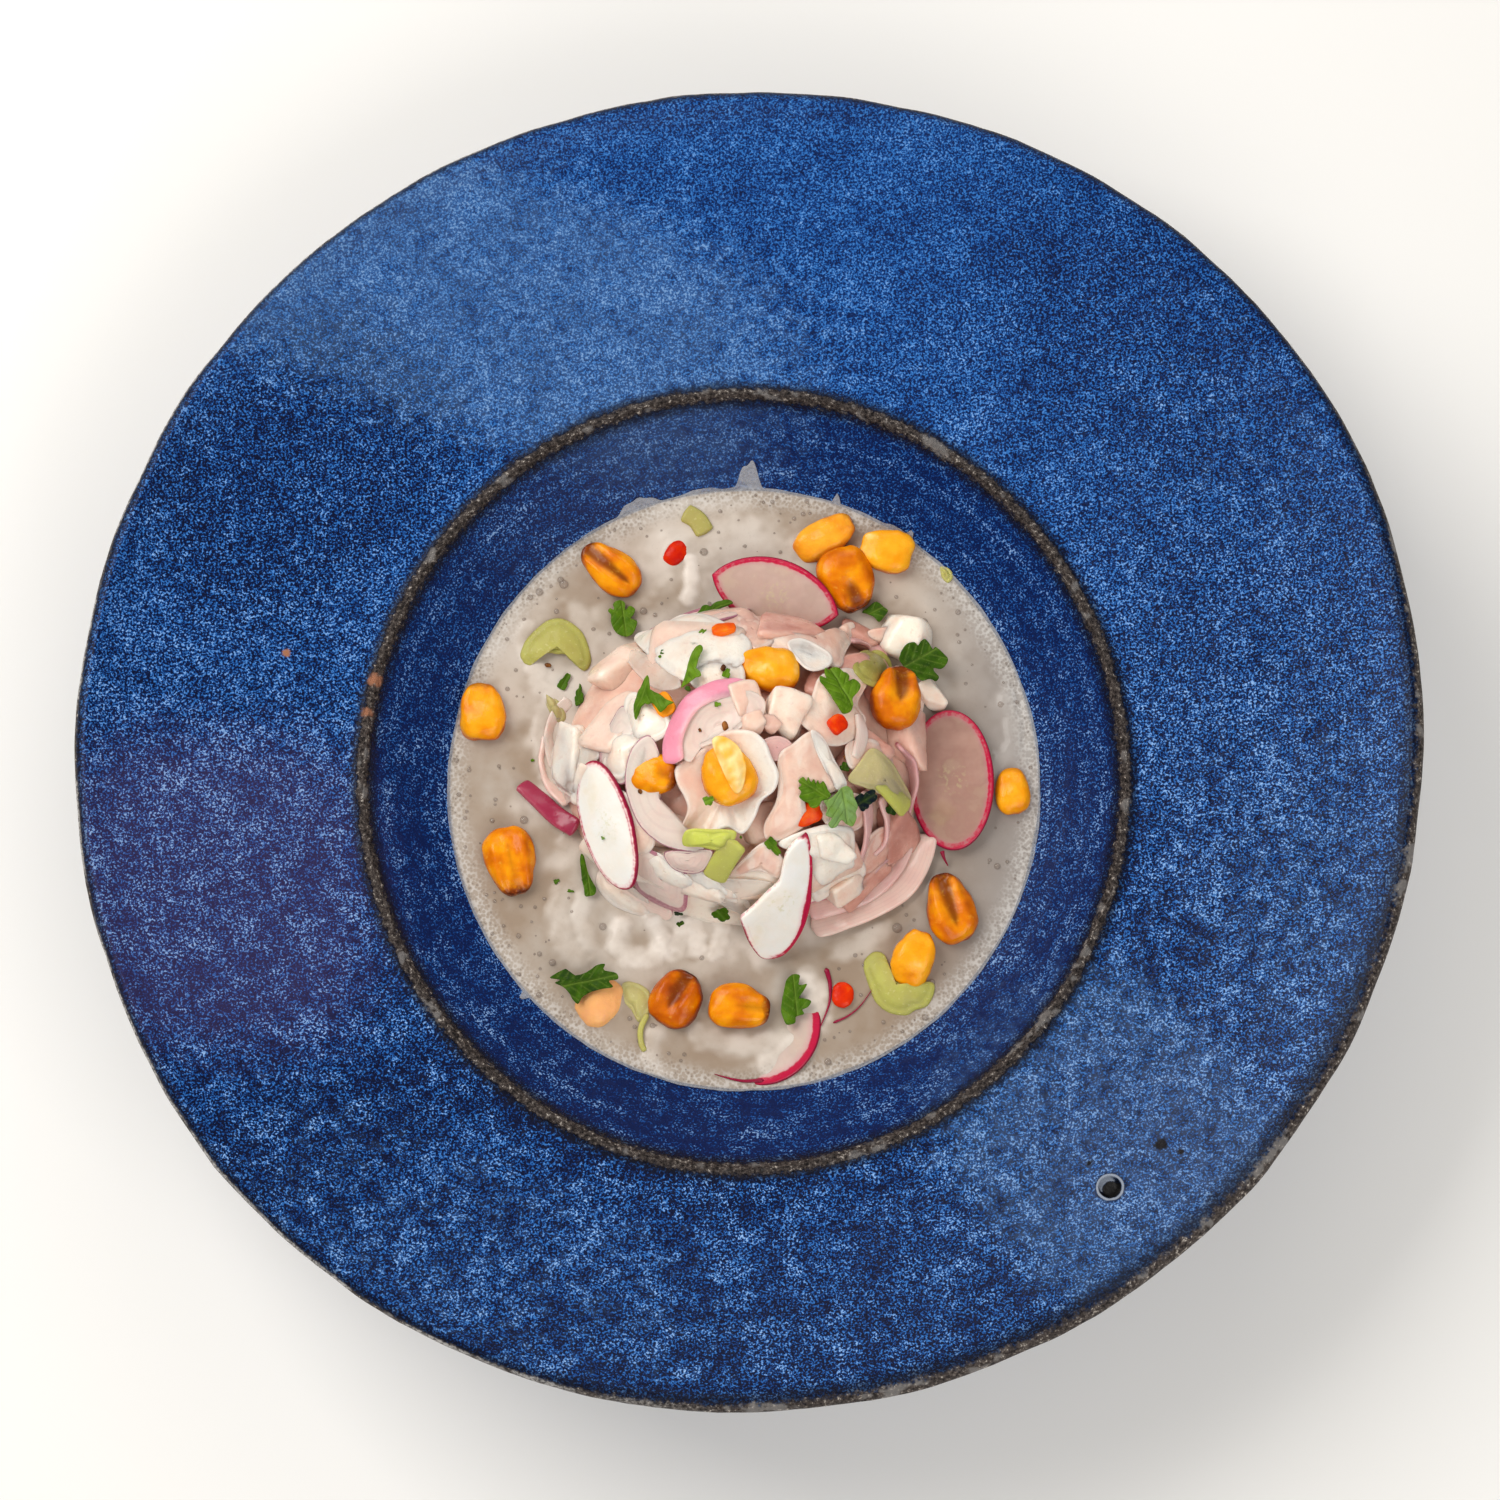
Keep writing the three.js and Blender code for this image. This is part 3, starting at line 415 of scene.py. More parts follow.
class Finish:
    """A node material in the making: its shader, and short calls for the textures that feed it."""

    def __init__(self, name, **constants):
        self.material = bpy.data.materials.new(name)
        self.material.use_nodes = True
        self.tree = self.material.node_tree
        self.shader = self.tree.nodes["Principled BSDF"]
        for key, value in constants.items():
            self.shader.inputs[key.replace("_", " ")].default_value = value
        self.place = self.node("TexCoord", out="Object")

    def node(self, kind, inputs=None, out=0, **settings):
        """A new node with its inputs set or linked. Returns one of its outputs."""
        made = self.tree.nodes.new("ShaderNode" + kind)
        for key, value in settings.items():
            setattr(made, key, value)
        for key, value in (inputs or {}).items():
            if isinstance(value, bpy.types.NodeSocket):
                self.tree.links.new(value, made.inputs[key])
            else:
                made.inputs[key].default_value = value
        return made.outputs[out]

    def noise(self, size, detail=3.0, rough=0.5, vector=None):
        """Noise from 0 to 1 whose features are about size millimetres."""
        place = self.place if vector is None else vector
        inputs = {"Vector": place, "Scale": 1 / (size * MM), "Detail": detail, "Roughness": rough}
        return self.node("TexNoise", inputs)

    def value(self, name):
        """A named value of the mesh."""
        return self.node("Attribute", out="Fac", attribute_name=name)

    def math(self, operation, a, b=0.0, clamp=False):
        """One step of arithmetic."""
        return self.node("Math", {0: a, 1: b}, operation=operation, use_clamp=clamp)

    def times(self, a, b):
        """a times b."""
        return self.math("MULTIPLY", a, b)

    def plus(self, a, b):
        """a and b together."""
        return self.math("ADD", a, b)

    def less(self, a, b):
        """a less b."""
        return self.math("SUBTRACT", a, b)

    def swing(self, x, size, middle=0.5):
        """How far x is past its middle, times a size."""
        return self.times(self.less(x, middle), size)

    def vector(self, operation, a, b=(0.0, 0.0, 0.0), out=0):
        """One step of vector arithmetic."""
        return self.node("VectorMath", {0: a, 1: b}, out, operation=operation)

    def far_from(self, u, v, size):
        """Distance from the brim's place at a frame pixel, as a share of a size in millimetres."""
        x, y = brim_spot(u, v)
        z = float(brim_height(max(math.hypot(x, y), RING_RADIUS)))
        away = self.vector("DISTANCE", self.place, (x * MM, y * MM, z * MM), "Value")
        return self.math("DIVIDE", away, size * MM)

    def step(self, x, low, high, start=0.0, end=1.0):
        """x from low to high taken smoothly to start to end."""
        inputs = {"Value": x, "From Min": low, "From Max": high, "To Min": start, "To Max": end}
        return self.node("MapRange", inputs, interpolation_type="SMOOTHSTEP")

    def ramp(self, x, *stops):
        """A colour ramp through (position, colour) stops."""
        made = self.tree.nodes.new("ShaderNodeValToRGB")
        self.tree.links.new(x, made.inputs[0])
        bar = made.color_ramp.elements
        while len(bar) < len(stops):
            bar.new(1.0)
        for element, (position, colour) in zip(bar, stops):
            element.position, element.color = position, tint(colour) if isinstance(colour, str) else colour
        return made.outputs[0]

    def mix(self, share, a, b):
        """Colours a and b mixed by a share."""
        first, second = (tint(c) if isinstance(c, str) else c for c in (a, b))
        return self.node("Mix", {0: share, 6: first, 7: second}, 2, data_type="RGBA")

    def bump(self, height, depth):
        """A bump of a depth in millimetres."""
        return self.node("Bump", {"Height": height, "Strength": 1.0, "Distance": depth * MM})

    def feed(self, **sockets):
        """Links sockets of the shader, and returns the finished material."""
        for key, source in sockets.items():
            self.tree.links.new(source, self.shader.inputs[key.replace("_", " ")])
        return self.material


# ---------------- settings


def colour(name, description, code):
    """A colour that a user can change, from its rrggbb code."""
    return bpy.props.FloatVectorProperty(
        name=name, description=description, subtype="COLOR", size=4, min=0, max=1, default=tint(code)
    )


class CevichePlateSettings(bpy.types.PropertyGroup):
    """What a user would change on the plate."""

    columns: bpy.props.IntProperty(name="Columns", description="Corners round the plate", default=380, min=64)
    glaze: colour("Glaze", "Middle blue of the glaze", "0f468e")
    clay: colour("Clay", "Bare clay on the rim and the ring ridge", "3c3532")


class CevicheBrothSettings(bpy.types.PropertyGroup):
    """What a user would change on the broth."""

    middle: colour("Broth", "Middle colour of the broth", "9a8876")
    bubbles: bpy.props.IntProperty(name="Bubbles", description="Bubbles on the broth", default=260, min=0)
    bubble_size: bpy.props.FloatProperty(
        name="Bubble size", description="Middle radius of a bubble", default=0.00036, min=0.0001,
        unit="LENGTH"
    )


class CevicheFoodSettings(bpy.types.PropertyGroup):
    """What a user would change on the heap and its dressing."""

    fish: colour("Fish", "Light colour of the fish", "f5d8c5")
    corn: colour("Corn", "Middle colour of the corn", "da7400")
    skin: colour("Radish skin", "Skin of the radish", "bd1a42")
    leaf: colour("Leaf", "Upper face of a leaf", "42660a")
    flecks: bpy.props.IntProperty(
        name="Flecks", description="Leaf flecks scattered at random", default=26, min=0
    )


class CevicheStageSettings(bpy.types.PropertyGroup):
    """What a user would change round the plate."""

    key: bpy.props.FloatProperty(
        name="Key light", description="Power of the large light at the left", default=8.9, min=0, unit="POWER"
    )
    fill: bpy.props.FloatProperty(
        name="Fill light", description="Power of the lights at the right and the back", default=7.4, min=0,
        unit="POWER"
    )
    sky: bpy.props.FloatProperty(
        name="Sky", description="Strength of the light from all round", default=0.34, min=0
    )


# ---------------- the plate


def bowl_height(r):
    """Height of the bowl's inner face: a flat floor that steepens outwards by a power of the radius."""
    return FLOOR_TOP + (RING_TOP - FLOOR_TOP) * (np.maximum(r, 0) / RING_RADIUS) ** BOWL_POWER


def bowl_radius(z):
    """Radius at which the bowl's inner face has a height."""
    return RING_RADIUS * ((z - FLOOR_TOP) / (RING_TOP - FLOOR_TOP)) ** (1 / BOWL_POWER)


def off_wall(r, distance):
    """Radius and height of a point off the bowl's inner face, square to it."""
    slope = (bowl_height(r + 0.5) - bowl_height(r - 0.5)) / np.where(r < 0.5, r + 0.5, 1.0)
    long = np.hypot(1, slope)
    return np.maximum(r - distance * slope / long, 0), bowl_height(r) + distance / long


def brim_height(r):
    """Height of the brim's upper face: a straight rise that sags in the middle, with a low lip at the rim."""
    share = (r - RING_RADIUS) / (RIM_RADIUS - RING_RADIUS)
    straight = RING_TOP - 0.4 + (RIM_TOP - RING_TOP + 0.4) * share
    return straight - BRIM_SAG * 4 * share * (1 - share)


def well_share(r):
    """How far a ring belongs to the well: 1 inside the ring ridge, 0 at the rim."""
    return smooth(0, 1, (RIM_RADIUS - r) / (RIM_RADIUS - RING_RADIUS - 2))


def thrown(r, angle, z):
    """Points of a round plate carried to the thrown one: an oval well off its middle, and a lobed rim."""
    share = well_share(r)
    lobe = sum(height * np.cos(count * (angle - math.radians(peak))) for count, height, peak in LOBES)
    out = r * (1 + lobe * (1 - share) / RIM_RADIUS)
    x = out * np.cos(angle) * (1 - WELL_OVAL * share) + WELL_OFFSET[0] * share
    y = out * np.sin(angle) * (1 + WELL_OVAL * share) + WELL_OFFSET[1] * share
    return stack(x, y, z)


# Stands for a place far from the ring ridge and the rim, in millimetres.
FAR = 150.0

# A burst blister in the glaze: its pixel, the radius and depth of its crater, and the height of its thin lip.
BLISTER = {"pixel": (1110, 1187), "radius": 2.2, "depth": 1.3, "lip": 0.4}

# Small faults: frame pixel, radius, and whether it is rusty (1) or black (0).
PITS = (
    (1161, 1144, 1.3, 0), (1181, 1152, 0.7, 0), (917, 273, 0.6, 0), (1089, 1162, 0.9, 0),
    (1100, 1168, 0.6, 0), (1086, 1174, 0.5, 0), (286, 653, 0.9, 1), (375, 681, 1.5, 1), (367, 713, 1.3, 1),
    (880, 377, 0.5, 0),
)

# Where dips of glaze overlap, fade or darken: the value they feed, frame pixel, half length and half width,
# heading, softness of the edge and strength. The fading is partly a painted reflection of the light, and the
# darkening is partly painted shade inside the well.
DIPS = (
    ("fade_and_reflection", (440, 285), (84, 31), -17, 0.35, 0.68), ("fade_and_reflection", (620, 380), (44, 20), -8, 0.8, 0.42),
    ("fade_and_reflection", (1105, 1135), (39, 33), -50, 0.28, 0.55), ("fade_and_reflection", (480, 1250), (58, 24), -24, 0.5, 0.24),
    ("fade_and_reflection", (1330, 930), (30, 48), 10, 0.9, 0.34), ("fade_and_reflection", (1270, 420), (30, 30), 0, 0.9, 0.2),
    ("dark_and_shade", (300, 470), (38, 26), 40, 0.4, 0.8), ("dark_and_shade", (330, 1130), (40, 12), 24, 0.5, 0.6),
    ("dark_and_shade", (600, 1110), (42, 12), -26, 0.6, 1), ("dark_and_shade", (430, 840), (12, 26), 0, 0.6, 0.6),
    ("dark_and_shade", (1260, 540), (40, 44), 0, 0.8, 0.4), ("dark_and_shade", (1165, 330), (52, 34), -36, 0.8, 0.6),
    ("dark_and_shade", (800, 1340), (60, 14), 4, 0.8, 0.4), ("violet", (215, 890), (34, 34), 0, 0.6, 1),
    ("violet", (1130, 1130), (34, 30), 0, 0.8, 0.3),
)


def dip(kind, x, y):
    """How strongly the dips of a kind lie over a place: squared ovals whose edges fade by their softness."""
    total = np.zeros_like(x)
    for name, pixel, size, heading, soft, strength in DIPS:
        u, v = along_heading(x, y, brim_spot(*pixel), heading)
        far = (np.abs(u / size[0]) ** 3 + np.abs(v / size[1]) ** 3) ** (1 / 3)
        total = np.maximum(total, (name == kind) * strength * smooth(1 + soft, 1 - soft, far))
    return total


def brim_spot(u, v):
    """Place on the brim that the camera shows at a frame pixel."""
    return meet(u, v, lambda x, y: brim_height(np.clip(np.hypot(x, y), RING_RADIUS, RIM_RADIUS)))[..., :2]


def plate_profile():
    """The plate's section from the axis under the foot, round the rim, to the axis on the floor.

    Returns radii, heights, and distances along the section from the rim's crest: below 0 underneath, above 0
    on top.
    """
    foot = curve(
        [
            (2, 5), (30, FOOT_HOLLOW), (45, FOOT_HOLLOW - 0.1), (FOOT_INNER - 0.4, 0.7),
            (FOOT_INNER + 0.4, 0), (50, 0), (FOOT_OUTER - 0.8, 0), (FOOT_OUTER + 0.1, 0.7),
            (FOOT_OUTER + 1, bowl_height(FOOT_OUTER) - WALL - 2)
        ],
        44
    )
    foot[:, 1] = np.maximum(foot[:, 1], 0)
    anchors = [(FOOT_OUTER + 1, bowl_height(FOOT_OUTER) - WALL - 2)]
    anchors += [off_wall(np.array(r), -WALL) for r in (66.0, 76.0)]
    anchors += [(RING_RADIUS + 7, brim_height(RING_RADIUS + 7) - WALL - 1.5)]
    anchors += [(r, brim_height(r) - WALL) for r in (112.0, 130.0)]
    edge = RIM_THICKNESS / 2
    turn = np.radians(np.linspace(-80, 90, 16))
    arc = np.stack([RIM_RADIUS - edge + edge * np.cos(turn), RIM_TOP - edge + edge * np.sin(turn)], -1)
    under = curve([*anchors, tuple(arc[0])], 40)[1:-1]
    stretches = ((142, 138.5, 10), (138, 123, 15), (122, 112, 40), (111, 91, 19), (90.4, 79.2, 42))
    brim_r = np.concatenate([np.linspace(*stretch) for stretch in stretches])
    lip = 1.05 * np.exp(-((RIM_RADIUS - edge - brim_r) / 3.2).clip(0) ** 1.5)
    outer = brim_height(np.maximum(brim_r, RING_RADIUS)) + lip
    inner = np.where(brim_r > RING_RADIUS, outer, bowl_height(brim_r))
    inner += RING_HEIGHT * np.exp(-(((brim_r - RING_RADIUS) / RING_WIDTH) ** 2))
    brim = np.stack([brim_r, inner], -1)
    bowl_r = np.concatenate([np.linspace(78.5, 60, 26), np.linspace(56, 3, 10)])
    bowl = np.stack([bowl_r, bowl_height(bowl_r)], -1)
    line = np.concatenate([foot, under, arc, brim, bowl])
    length = np.concatenate([[0], np.cumsum(np.hypot(*np.diff(line, axis=0).T))])
    crest = len(foot) + len(under) + int(np.argmin(np.abs(turn)))
    return line[:, 0], line[:, 1], length - length[crest]


def make_plate(settings):
    """The plate: its section turned and thrown out of round, with throwing rings and small faults.

    The height gains 0.03 mm rings about 5 mm apart, the ring ridge and the lip wander by slow waves of the
    angle, and the blister is a crater with a low lip round it; the other faults are only marks in the colour.
    """
    r, z, run = plate_profile()
    place = brim_spot(*BLISTER["pixel"])
    middle = math.atan2(place[1], place[0])
    near = middle + np.radians(np.linspace(-2.4, 2.4, 44))
    around = np.linspace(middle + math.radians(2.6), middle + TAU - math.radians(2.6), settings.columns - 44)
    angle = np.concatenate([near, around])
    r, z, run = r[:, None], z[:, None], run[:, None]
    ring = np.stack([np.cos(angle), np.sin(angle)], -1)
    wander = ripple(ring, 0.5, 3, 4)
    ridge = np.exp(-(((r - RING_RADIUS) / RING_WIDTH) ** 2)) * (run > 0)
    upper = smooth(0, 3, run) * smooth(40, 64, r)
    sway = 0.25 * np.exp(-((run / 4) ** 2)) * ripple(ring, 0.25, 6, 4)
    drift = r + 0.35 * ridge * ripple(ring, 0.35, 5, 4) + sway
    rings = 0.03 * np.sin(r * 1.25 + 1.5 * ripple(ring, 1.2, 7, 2))
    high = z + 0.2 * ridge * wander + upper * rings * (1 - ridge)
    points = thrown(drift, angle[None] + 0 * drift, high)
    hollow = BLISTER["radius"]
    away = np.hypot(points[..., 0] - place[0], points[..., 1] - place[1])
    crater = -BLISTER["depth"] * smooth(hollow + 0.3, hollow - 0.5, away)
    crater += BLISTER["lip"] * np.exp(-(((away - 1.22 * hollow) / 0.4) ** 2))
    points[..., 2] += np.where(run > 3, crater, 0)
    points[..., 2] += upper * 0.12 * ripple(points[..., :2], 34.0, 8, 3)
    batch = Batch()
    full = shell(points, [0, 0, FOOT_HOLLOW], [*WELL_OFFSET, FLOOR_TOP])

    def spread(rows):
        """Values of the section's rows at every point of the shell."""
        return with_ends(rows + 0 * drift, -FAR, FAR)

    worn = 1 + 1.1 * smooth(0.2, 1.0, np.cos(angle - math.radians(-42))) + 0 * drift
    x, y = points[..., 0], points[..., 1]
    values = {kind: spread(dip(kind, x, y) * upper) for kind in ("fade_and_reflection", "dark_and_shade", "violet")}
    values["ring_mm"] = spread(np.where(run > 0, drift - RING_RADIUS, 40.0))
    values["rim_mm"] = spread(np.where(run < 0, run, run / worn))
    values["foot"] = spread(smooth(46.0, 47.5, r) * smooth(54.8, 53.8, r) * (run < -60) * (z < 1.5))
    batch.add(full, shell_faces(len(r), len(angle)), **values)
    return batch.piece("plate_stoneware", stoneware(settings), "plate", "plate")


def stoneware(settings):
    """Speckled blue glaze: fine light grains over navy, dips that fade and darken it, streaks down the well.

    The paler, greyer dips are partly a painted reflection of the light, and the darker ones partly painted
    shade inside the well. The clay is bare on the ring ridge, the rim and the foot; a painted highlight runs
    along the rim's edge on the west side, and a thin one rings the blister's lip. The grain is a noise 0.47
    mm wide, drawn out to full contrast. North of the middle the glaze is calmer, and its blotches are
    fainter.
    """
    paint = Finish("speckled_glaze", IOR=1.45, Specular_IOR_Level=0.14)
    grain = paint.step(paint.noise(0.47, 2.0, rough=0.6), 0.36, 0.66)
    patch = paint.noise(5.5)
    north = paint.node("SeparateXYZ", {0: paint.place}, out=1)
    coarse, cloud = paint.noise(2.6, rough=0.65), paint.noise(14.0, rough=0.6)
    offset = paint.vector("SUBTRACT", paint.place, (WELL_OFFSET[0] * MM, WELL_OFFSET[1] * MM, 0.0))
    far = paint.vector("LENGTH", paint.vector("MULTIPLY", offset, (1.0, 1.0, 0.0)), out="Value")
    ring, rim, foot = paint.value("ring_mm"), paint.value("rim_mm"), paint.value("foot")
    well = paint.step(ring, 2.0, -3.0)
    lap = paint.noise(2.2, vector=paint.node("CombineXYZ", {0: far, 1: paint.times(cloud, 0.006)}))

    def spread(kind, wild):
        """A dip's share, ragged by the coarse noise."""
        ragged = paint.swing(coarse, wild)
        return paint.step(paint.plus(paint.value(kind), ragged), 0.12, 0.88)

    # The paler dips are partly a painted reflection of the light; the darker ones are partly painted shade in
    # the well.
    fade_and_reflection, dark_and_shade, violet = spread("fade_and_reflection", 1.3), spread("dark_and_shade", 1.0), spread("violet", 0.6)
    lively = paint.step(north, 0.13, -0.03, 0.6, 1.1)
    for share, gain in ((dark_and_shade, 0.3), (violet, 0.35), (well, 0.5)):
        lively = paint.plus(lively, paint.times(share, gain))
    tone = paint.plus(paint.times(grain, 0.6), paint.times(coarse, 0.5))
    blotches = paint.swing(patch, paint.step(north, 0.04, -0.05, 0.1, 0.55))
    tone = paint.plus(paint.less(tone, 0.55), blotches)
    tone = paint.plus(paint.times(tone, lively), paint.step(north, 0.13, -0.11, 0.64, 0.5))
    tone = paint.plus(tone, paint.times(cloud, 0.28))
    for share, gain in ((fade_and_reflection, 0.07), (dark_and_shade, -0.12), (violet, -0.06), (well, -0.11)):
        tone = paint.plus(tone, paint.times(share, gain))
    tone = paint.plus(tone, paint.times(paint.swing(lap, well, 0.56), 0.7))
    tone = paint.step(tone, 0.34, 1.26)
    glaze = paint.ramp(
        tone, (0.0, "020a2a"), (0.26, "062356"), (0.5, settings.glaze), (0.74, "3474bb"), (1.0, "9cc0ea")
    )
    # Painted reflection: the paler dips are greyed towards a hazy light blue.
    glaze = paint.mix(paint.times(fade_and_reflection, 0.4), glaze, "4a688f")
    glaze = paint.mix(paint.times(violet, 0.32), glaze, "4a3f6e")
    glaze = paint.mix(paint.times(well, 0.34), glaze, "022668")
    wobble = paint.swing(paint.noise(1.6, 2.0, rough=0.7), 2.2)
    line = paint.math("ABSOLUTE", paint.plus(ring, wobble))
    edge = paint.plus(paint.math("ABSOLUTE", paint.plus(rim, 0.3)), wobble)
    shade = paint.times(paint.step(line, 3.8, 1.4), 0.88)
    shade = paint.math("MAXIMUM", shade, paint.times(paint.step(edge, 5.0, 2.4), 0.85))
    glaze = paint.mix(shade, glaze, "080a16")
    crust = paint.noise(0.9, rough=0.75)
    bare = paint.ramp(crust, (0.34, "0e0b0b"), (0.48, settings.clay), (0.6, "5a524d"), (0.69, "c2bab0"))
    bare = paint.mix(paint.times(paint.step(patch, 0.58, 0.66), 0.55), bare, "8a8785")
    # Painted highlight: a light line along the rim's edge on the west side, towards the key light, broken up
    # by the cloud.
    west = paint.step(paint.node("SeparateXYZ", {0: paint.place}), 0.0, -0.06)
    rim_glare = paint.step(paint.math("ABSOLUTE", paint.plus(rim, -1.0)), 1.2, 0.5)
    rim_glare = paint.times(paint.times(rim_glare, west), paint.step(cloud, 0.42, 0.5))
    bare = paint.mix(paint.times(rim_glare, paint.step(crust, 0.4, 0.58, 0.15, 0.9)), bare, "b4b2b0")
    clay = paint.math("MAXIMUM", paint.step(line, 1.6, 0.8), paint.step(edge, 2.5, 1.7))
    # The bare clay mask takes in the painted highlight on the rim as well.
    clay = paint.math("MAXIMUM", paint.math("MAXIMUM", clay, rim_glare), foot)
    colour = paint.mix(clay, glaze, bare)
    for u, v, radius, rusty in PITS:
        away = paint.plus(paint.far_from(u, v, radius), paint.times(wobble, 0.5))
        colour = paint.mix(paint.step(away, 1.3, 0.7), colour, "9c6a50" if rusty else "100d12")
    away = paint.far_from(*BLISTER["pixel"], BLISTER["radius"])
    away = paint.plus(away, paint.times(wobble, 0.06))
    # The thin light ring on the blister's lip is a painted highlight.
    lip = paint.times(paint.step(away, 1.08, 1.18), paint.step(away, 1.42, 1.3))
    colour = paint.mix(paint.times(paint.step(away, 1.75, 1.35), 0.7), colour, "0b1026")
    colour = paint.mix(paint.step(away, 1.2, 1.0), colour, "060505")
    colour = paint.mix(lip, colour, "8d96a4")
    gloss = paint.plus(paint.times(coarse, 0.25), 0.3)
    gloss = paint.plus(gloss, paint.times(clay, 0.15))
    relief = paint.plus(paint.times(crust, paint.step(line, 1.6, 0.8)), paint.times(coarse, 0.3))
    return paint.feed(Base_Color=colour, Roughness=gloss, Normal=paint.bump(relief, 0.8))


# ---------------- what is laid where

# Kernels: place, heading of the tip, length, width, lift, toast (0 pale to 1 dark), and where along the
# kernel its germ's hollow starts and how deep it is. Some have more: roll, pitch, lean with the ground,
# squareness of the box, ridges, and the veil of broth over them.
CORN = (
    ((-31, 42), 140, 15, 9.6, 0.8, 0.55, (-0.8, 1)),
    ((-59.3, 9.4), 93, 12.8, 10.2, 1.2, 0.3, (0.4, 0.4), {"box": 0.75}),
    ((-52.6, -23.8), -78, 15.2, 11.6, 0.8, 0.64, (-0.6, 0.5), {"ridges": 1}),
    ((-32.6, -55.2), 35, 11.5, 10, -0.9, 0.15, (0, 0), {"roll": 14, "veil": 0.6}),
    ((-16, -54.4), 62, 12.6, 11.6, 0.3, 1, (-0.5, 1), {"roll": -12}),
    ((-2.4, -56.4), -4, 13.4, 10.2, 1.6, 0.5, (-0.2, 0.6)),
    ((44, -34.4), 107, 15.8, 11, 1.2, 0.65, (-0.6, 1)),
    ((35.8, -45.4), 72, 12.8, 9.4, 1.6, 0.12, (0, 0), {"pitch": 14, "box": 0.8}),
    ((58, -8.4), 95, 10.2, 8.2, 0.9, 0.2, (0, 0)),
    ((32, 10.4), 80, 14.4, 12, 5.8, 0.64, (-0.3, 1.1), {"lean": 0.4}),
    ((21.6, 39.4), -68, 14.8, 12.6, 2.2, 0.74, (0, 0.9), {"lean": 0}),
    ((16.8, 49.4), 30, 14.6, 9, 0.4, 0.2, (0.5, 0.6), {"pitch": 8, "veil": 0.05}),
    ((30.4, 46.2), 168, 12, 9.4, 1.4, 0.05, (0, 0), {"box": 0.6}),
    ((4.1, 15.4), 172, 13.6, 10.8, 3.2, 0.08, (0, 0), {"lean": 0.7}),
    ((-21, -8), -12, 10.8, 10, 2.3, 0.35, (0.1, 0.7), {"pitch": 12, "lean": 0.6}),
    ((-4.6, -9.2), 118, 13.2, 11.8, 4.8, 0.05, (-0.2, 0.5), {"lean": 0.3}),
)


# A peeled skin that stands on the middle kernel: its outline in frame pixels.
PEEL = ((712, 742), (722, 736), (738, 746), (746, 765), (743, 787), (735, 793), (724, 774))

# Rows and columns of points on a kernel, and its thickness as a share of its width.
KERNEL_GRID, KERNEL_THICK = (34, 40), 0.62


def kernel(long, wide, ridges, seed, hollow, box):
    """A toasted kernel, its tip towards +X: a squared ball that narrows to the tip.

    The girth is sin(a) to a power times a taper. The upper face is pressed in along the germ from a share of
    the length on, by a strength: a hollow whose depth falls off across as a bell, between raised lips. Ridges
    run lengthwise as a cosine of the place across.
    """
    unit_ball = ball(*KERNEL_GRID)
    along, side = unit_ball[:, 0], unit_ball[:, 1:]
    girth = np.maximum(np.hypot(*side.T), 1e-6)
    turn = side / girth[:, None]
    full = girth ** (0.62 * box) * (1 - 0.24 * smooth(-0.3, 1.0, along) - 0.06 * smooth(-0.5, -1.0, along))
    across = bent(turn[:, 0], 0.82 * box) * full
    high = bent(turn[:, 1], 0.8 * box) * full
    reach = smooth(hollow[0] - 0.25, hollow[0] + 0.4, along) * smooth(1.0, 0.75, along) * hollow[1]
    bell = np.exp(-((across / (0.2 + 0.12 * smooth(-0.6, 0.5, along))) ** 2))
    top = smooth(0.0, 0.5, high)
    germ = bell * reach * top
    lips = np.exp(-(((np.abs(across) - 0.48) / 0.2) ** 2)) * reach * top
    points = stack(bent(along, 0.86) * long / 2, across * wide / 2, high * wide * KERNEL_THICK / 2)
    points[:, 2] += wide * (-0.1 * germ + 0.04 * lips)
    points[:, 2] += ridges * 0.35 * top * np.cos(across * 11) * smooth(-0.95, -0.4, along)
    dent = ripple(points, 9.0, seed + 50, 3)
    points += unit(unit_ball) * (0.32 * dent)[:, None]
    return points, along, germ, high


def make_corn(settings):
    """The toasted kernels, each in its solid's place."""
    batch = Batch()
    for i, (at, heading, long, wide, lift, toast, hollow, *more) in enumerate(CORN):
        more = {"ridges": 0.2, "box": 1.0, "veil": 0.0, **(more[0] if more else {})}
        points, along, germ, high = kernel(long, wide, more["ridges"], i, hollow, more["box"])
        lay = {key: more[key] for key in ("roll", "pitch", "lean") if key in more}
        place = laid(points, at, heading, lift=lift, **lay)
        faces = shell_faces(*KERNEL_GRID)
        # The height on the kernel feeds the painted light on its top.
        batch.add(place, faces, tip=along, germ=germ, toast=toast, veil=more["veil"], crown=high)
    points, _, _, faces = sheet([(*pixel, 8.9) for pixel in PEEL], 70, 9.6, 0.8, relief=0.1, columns=48)
    batch.add(points, faces, tip=-1.0, germ=0.0, toast=-0.3, veil=0.0, crown=1.0)
    return batch.piece("corn_kernels", toasted(settings), "corn", *numbered("corn", len(CORN), 2))


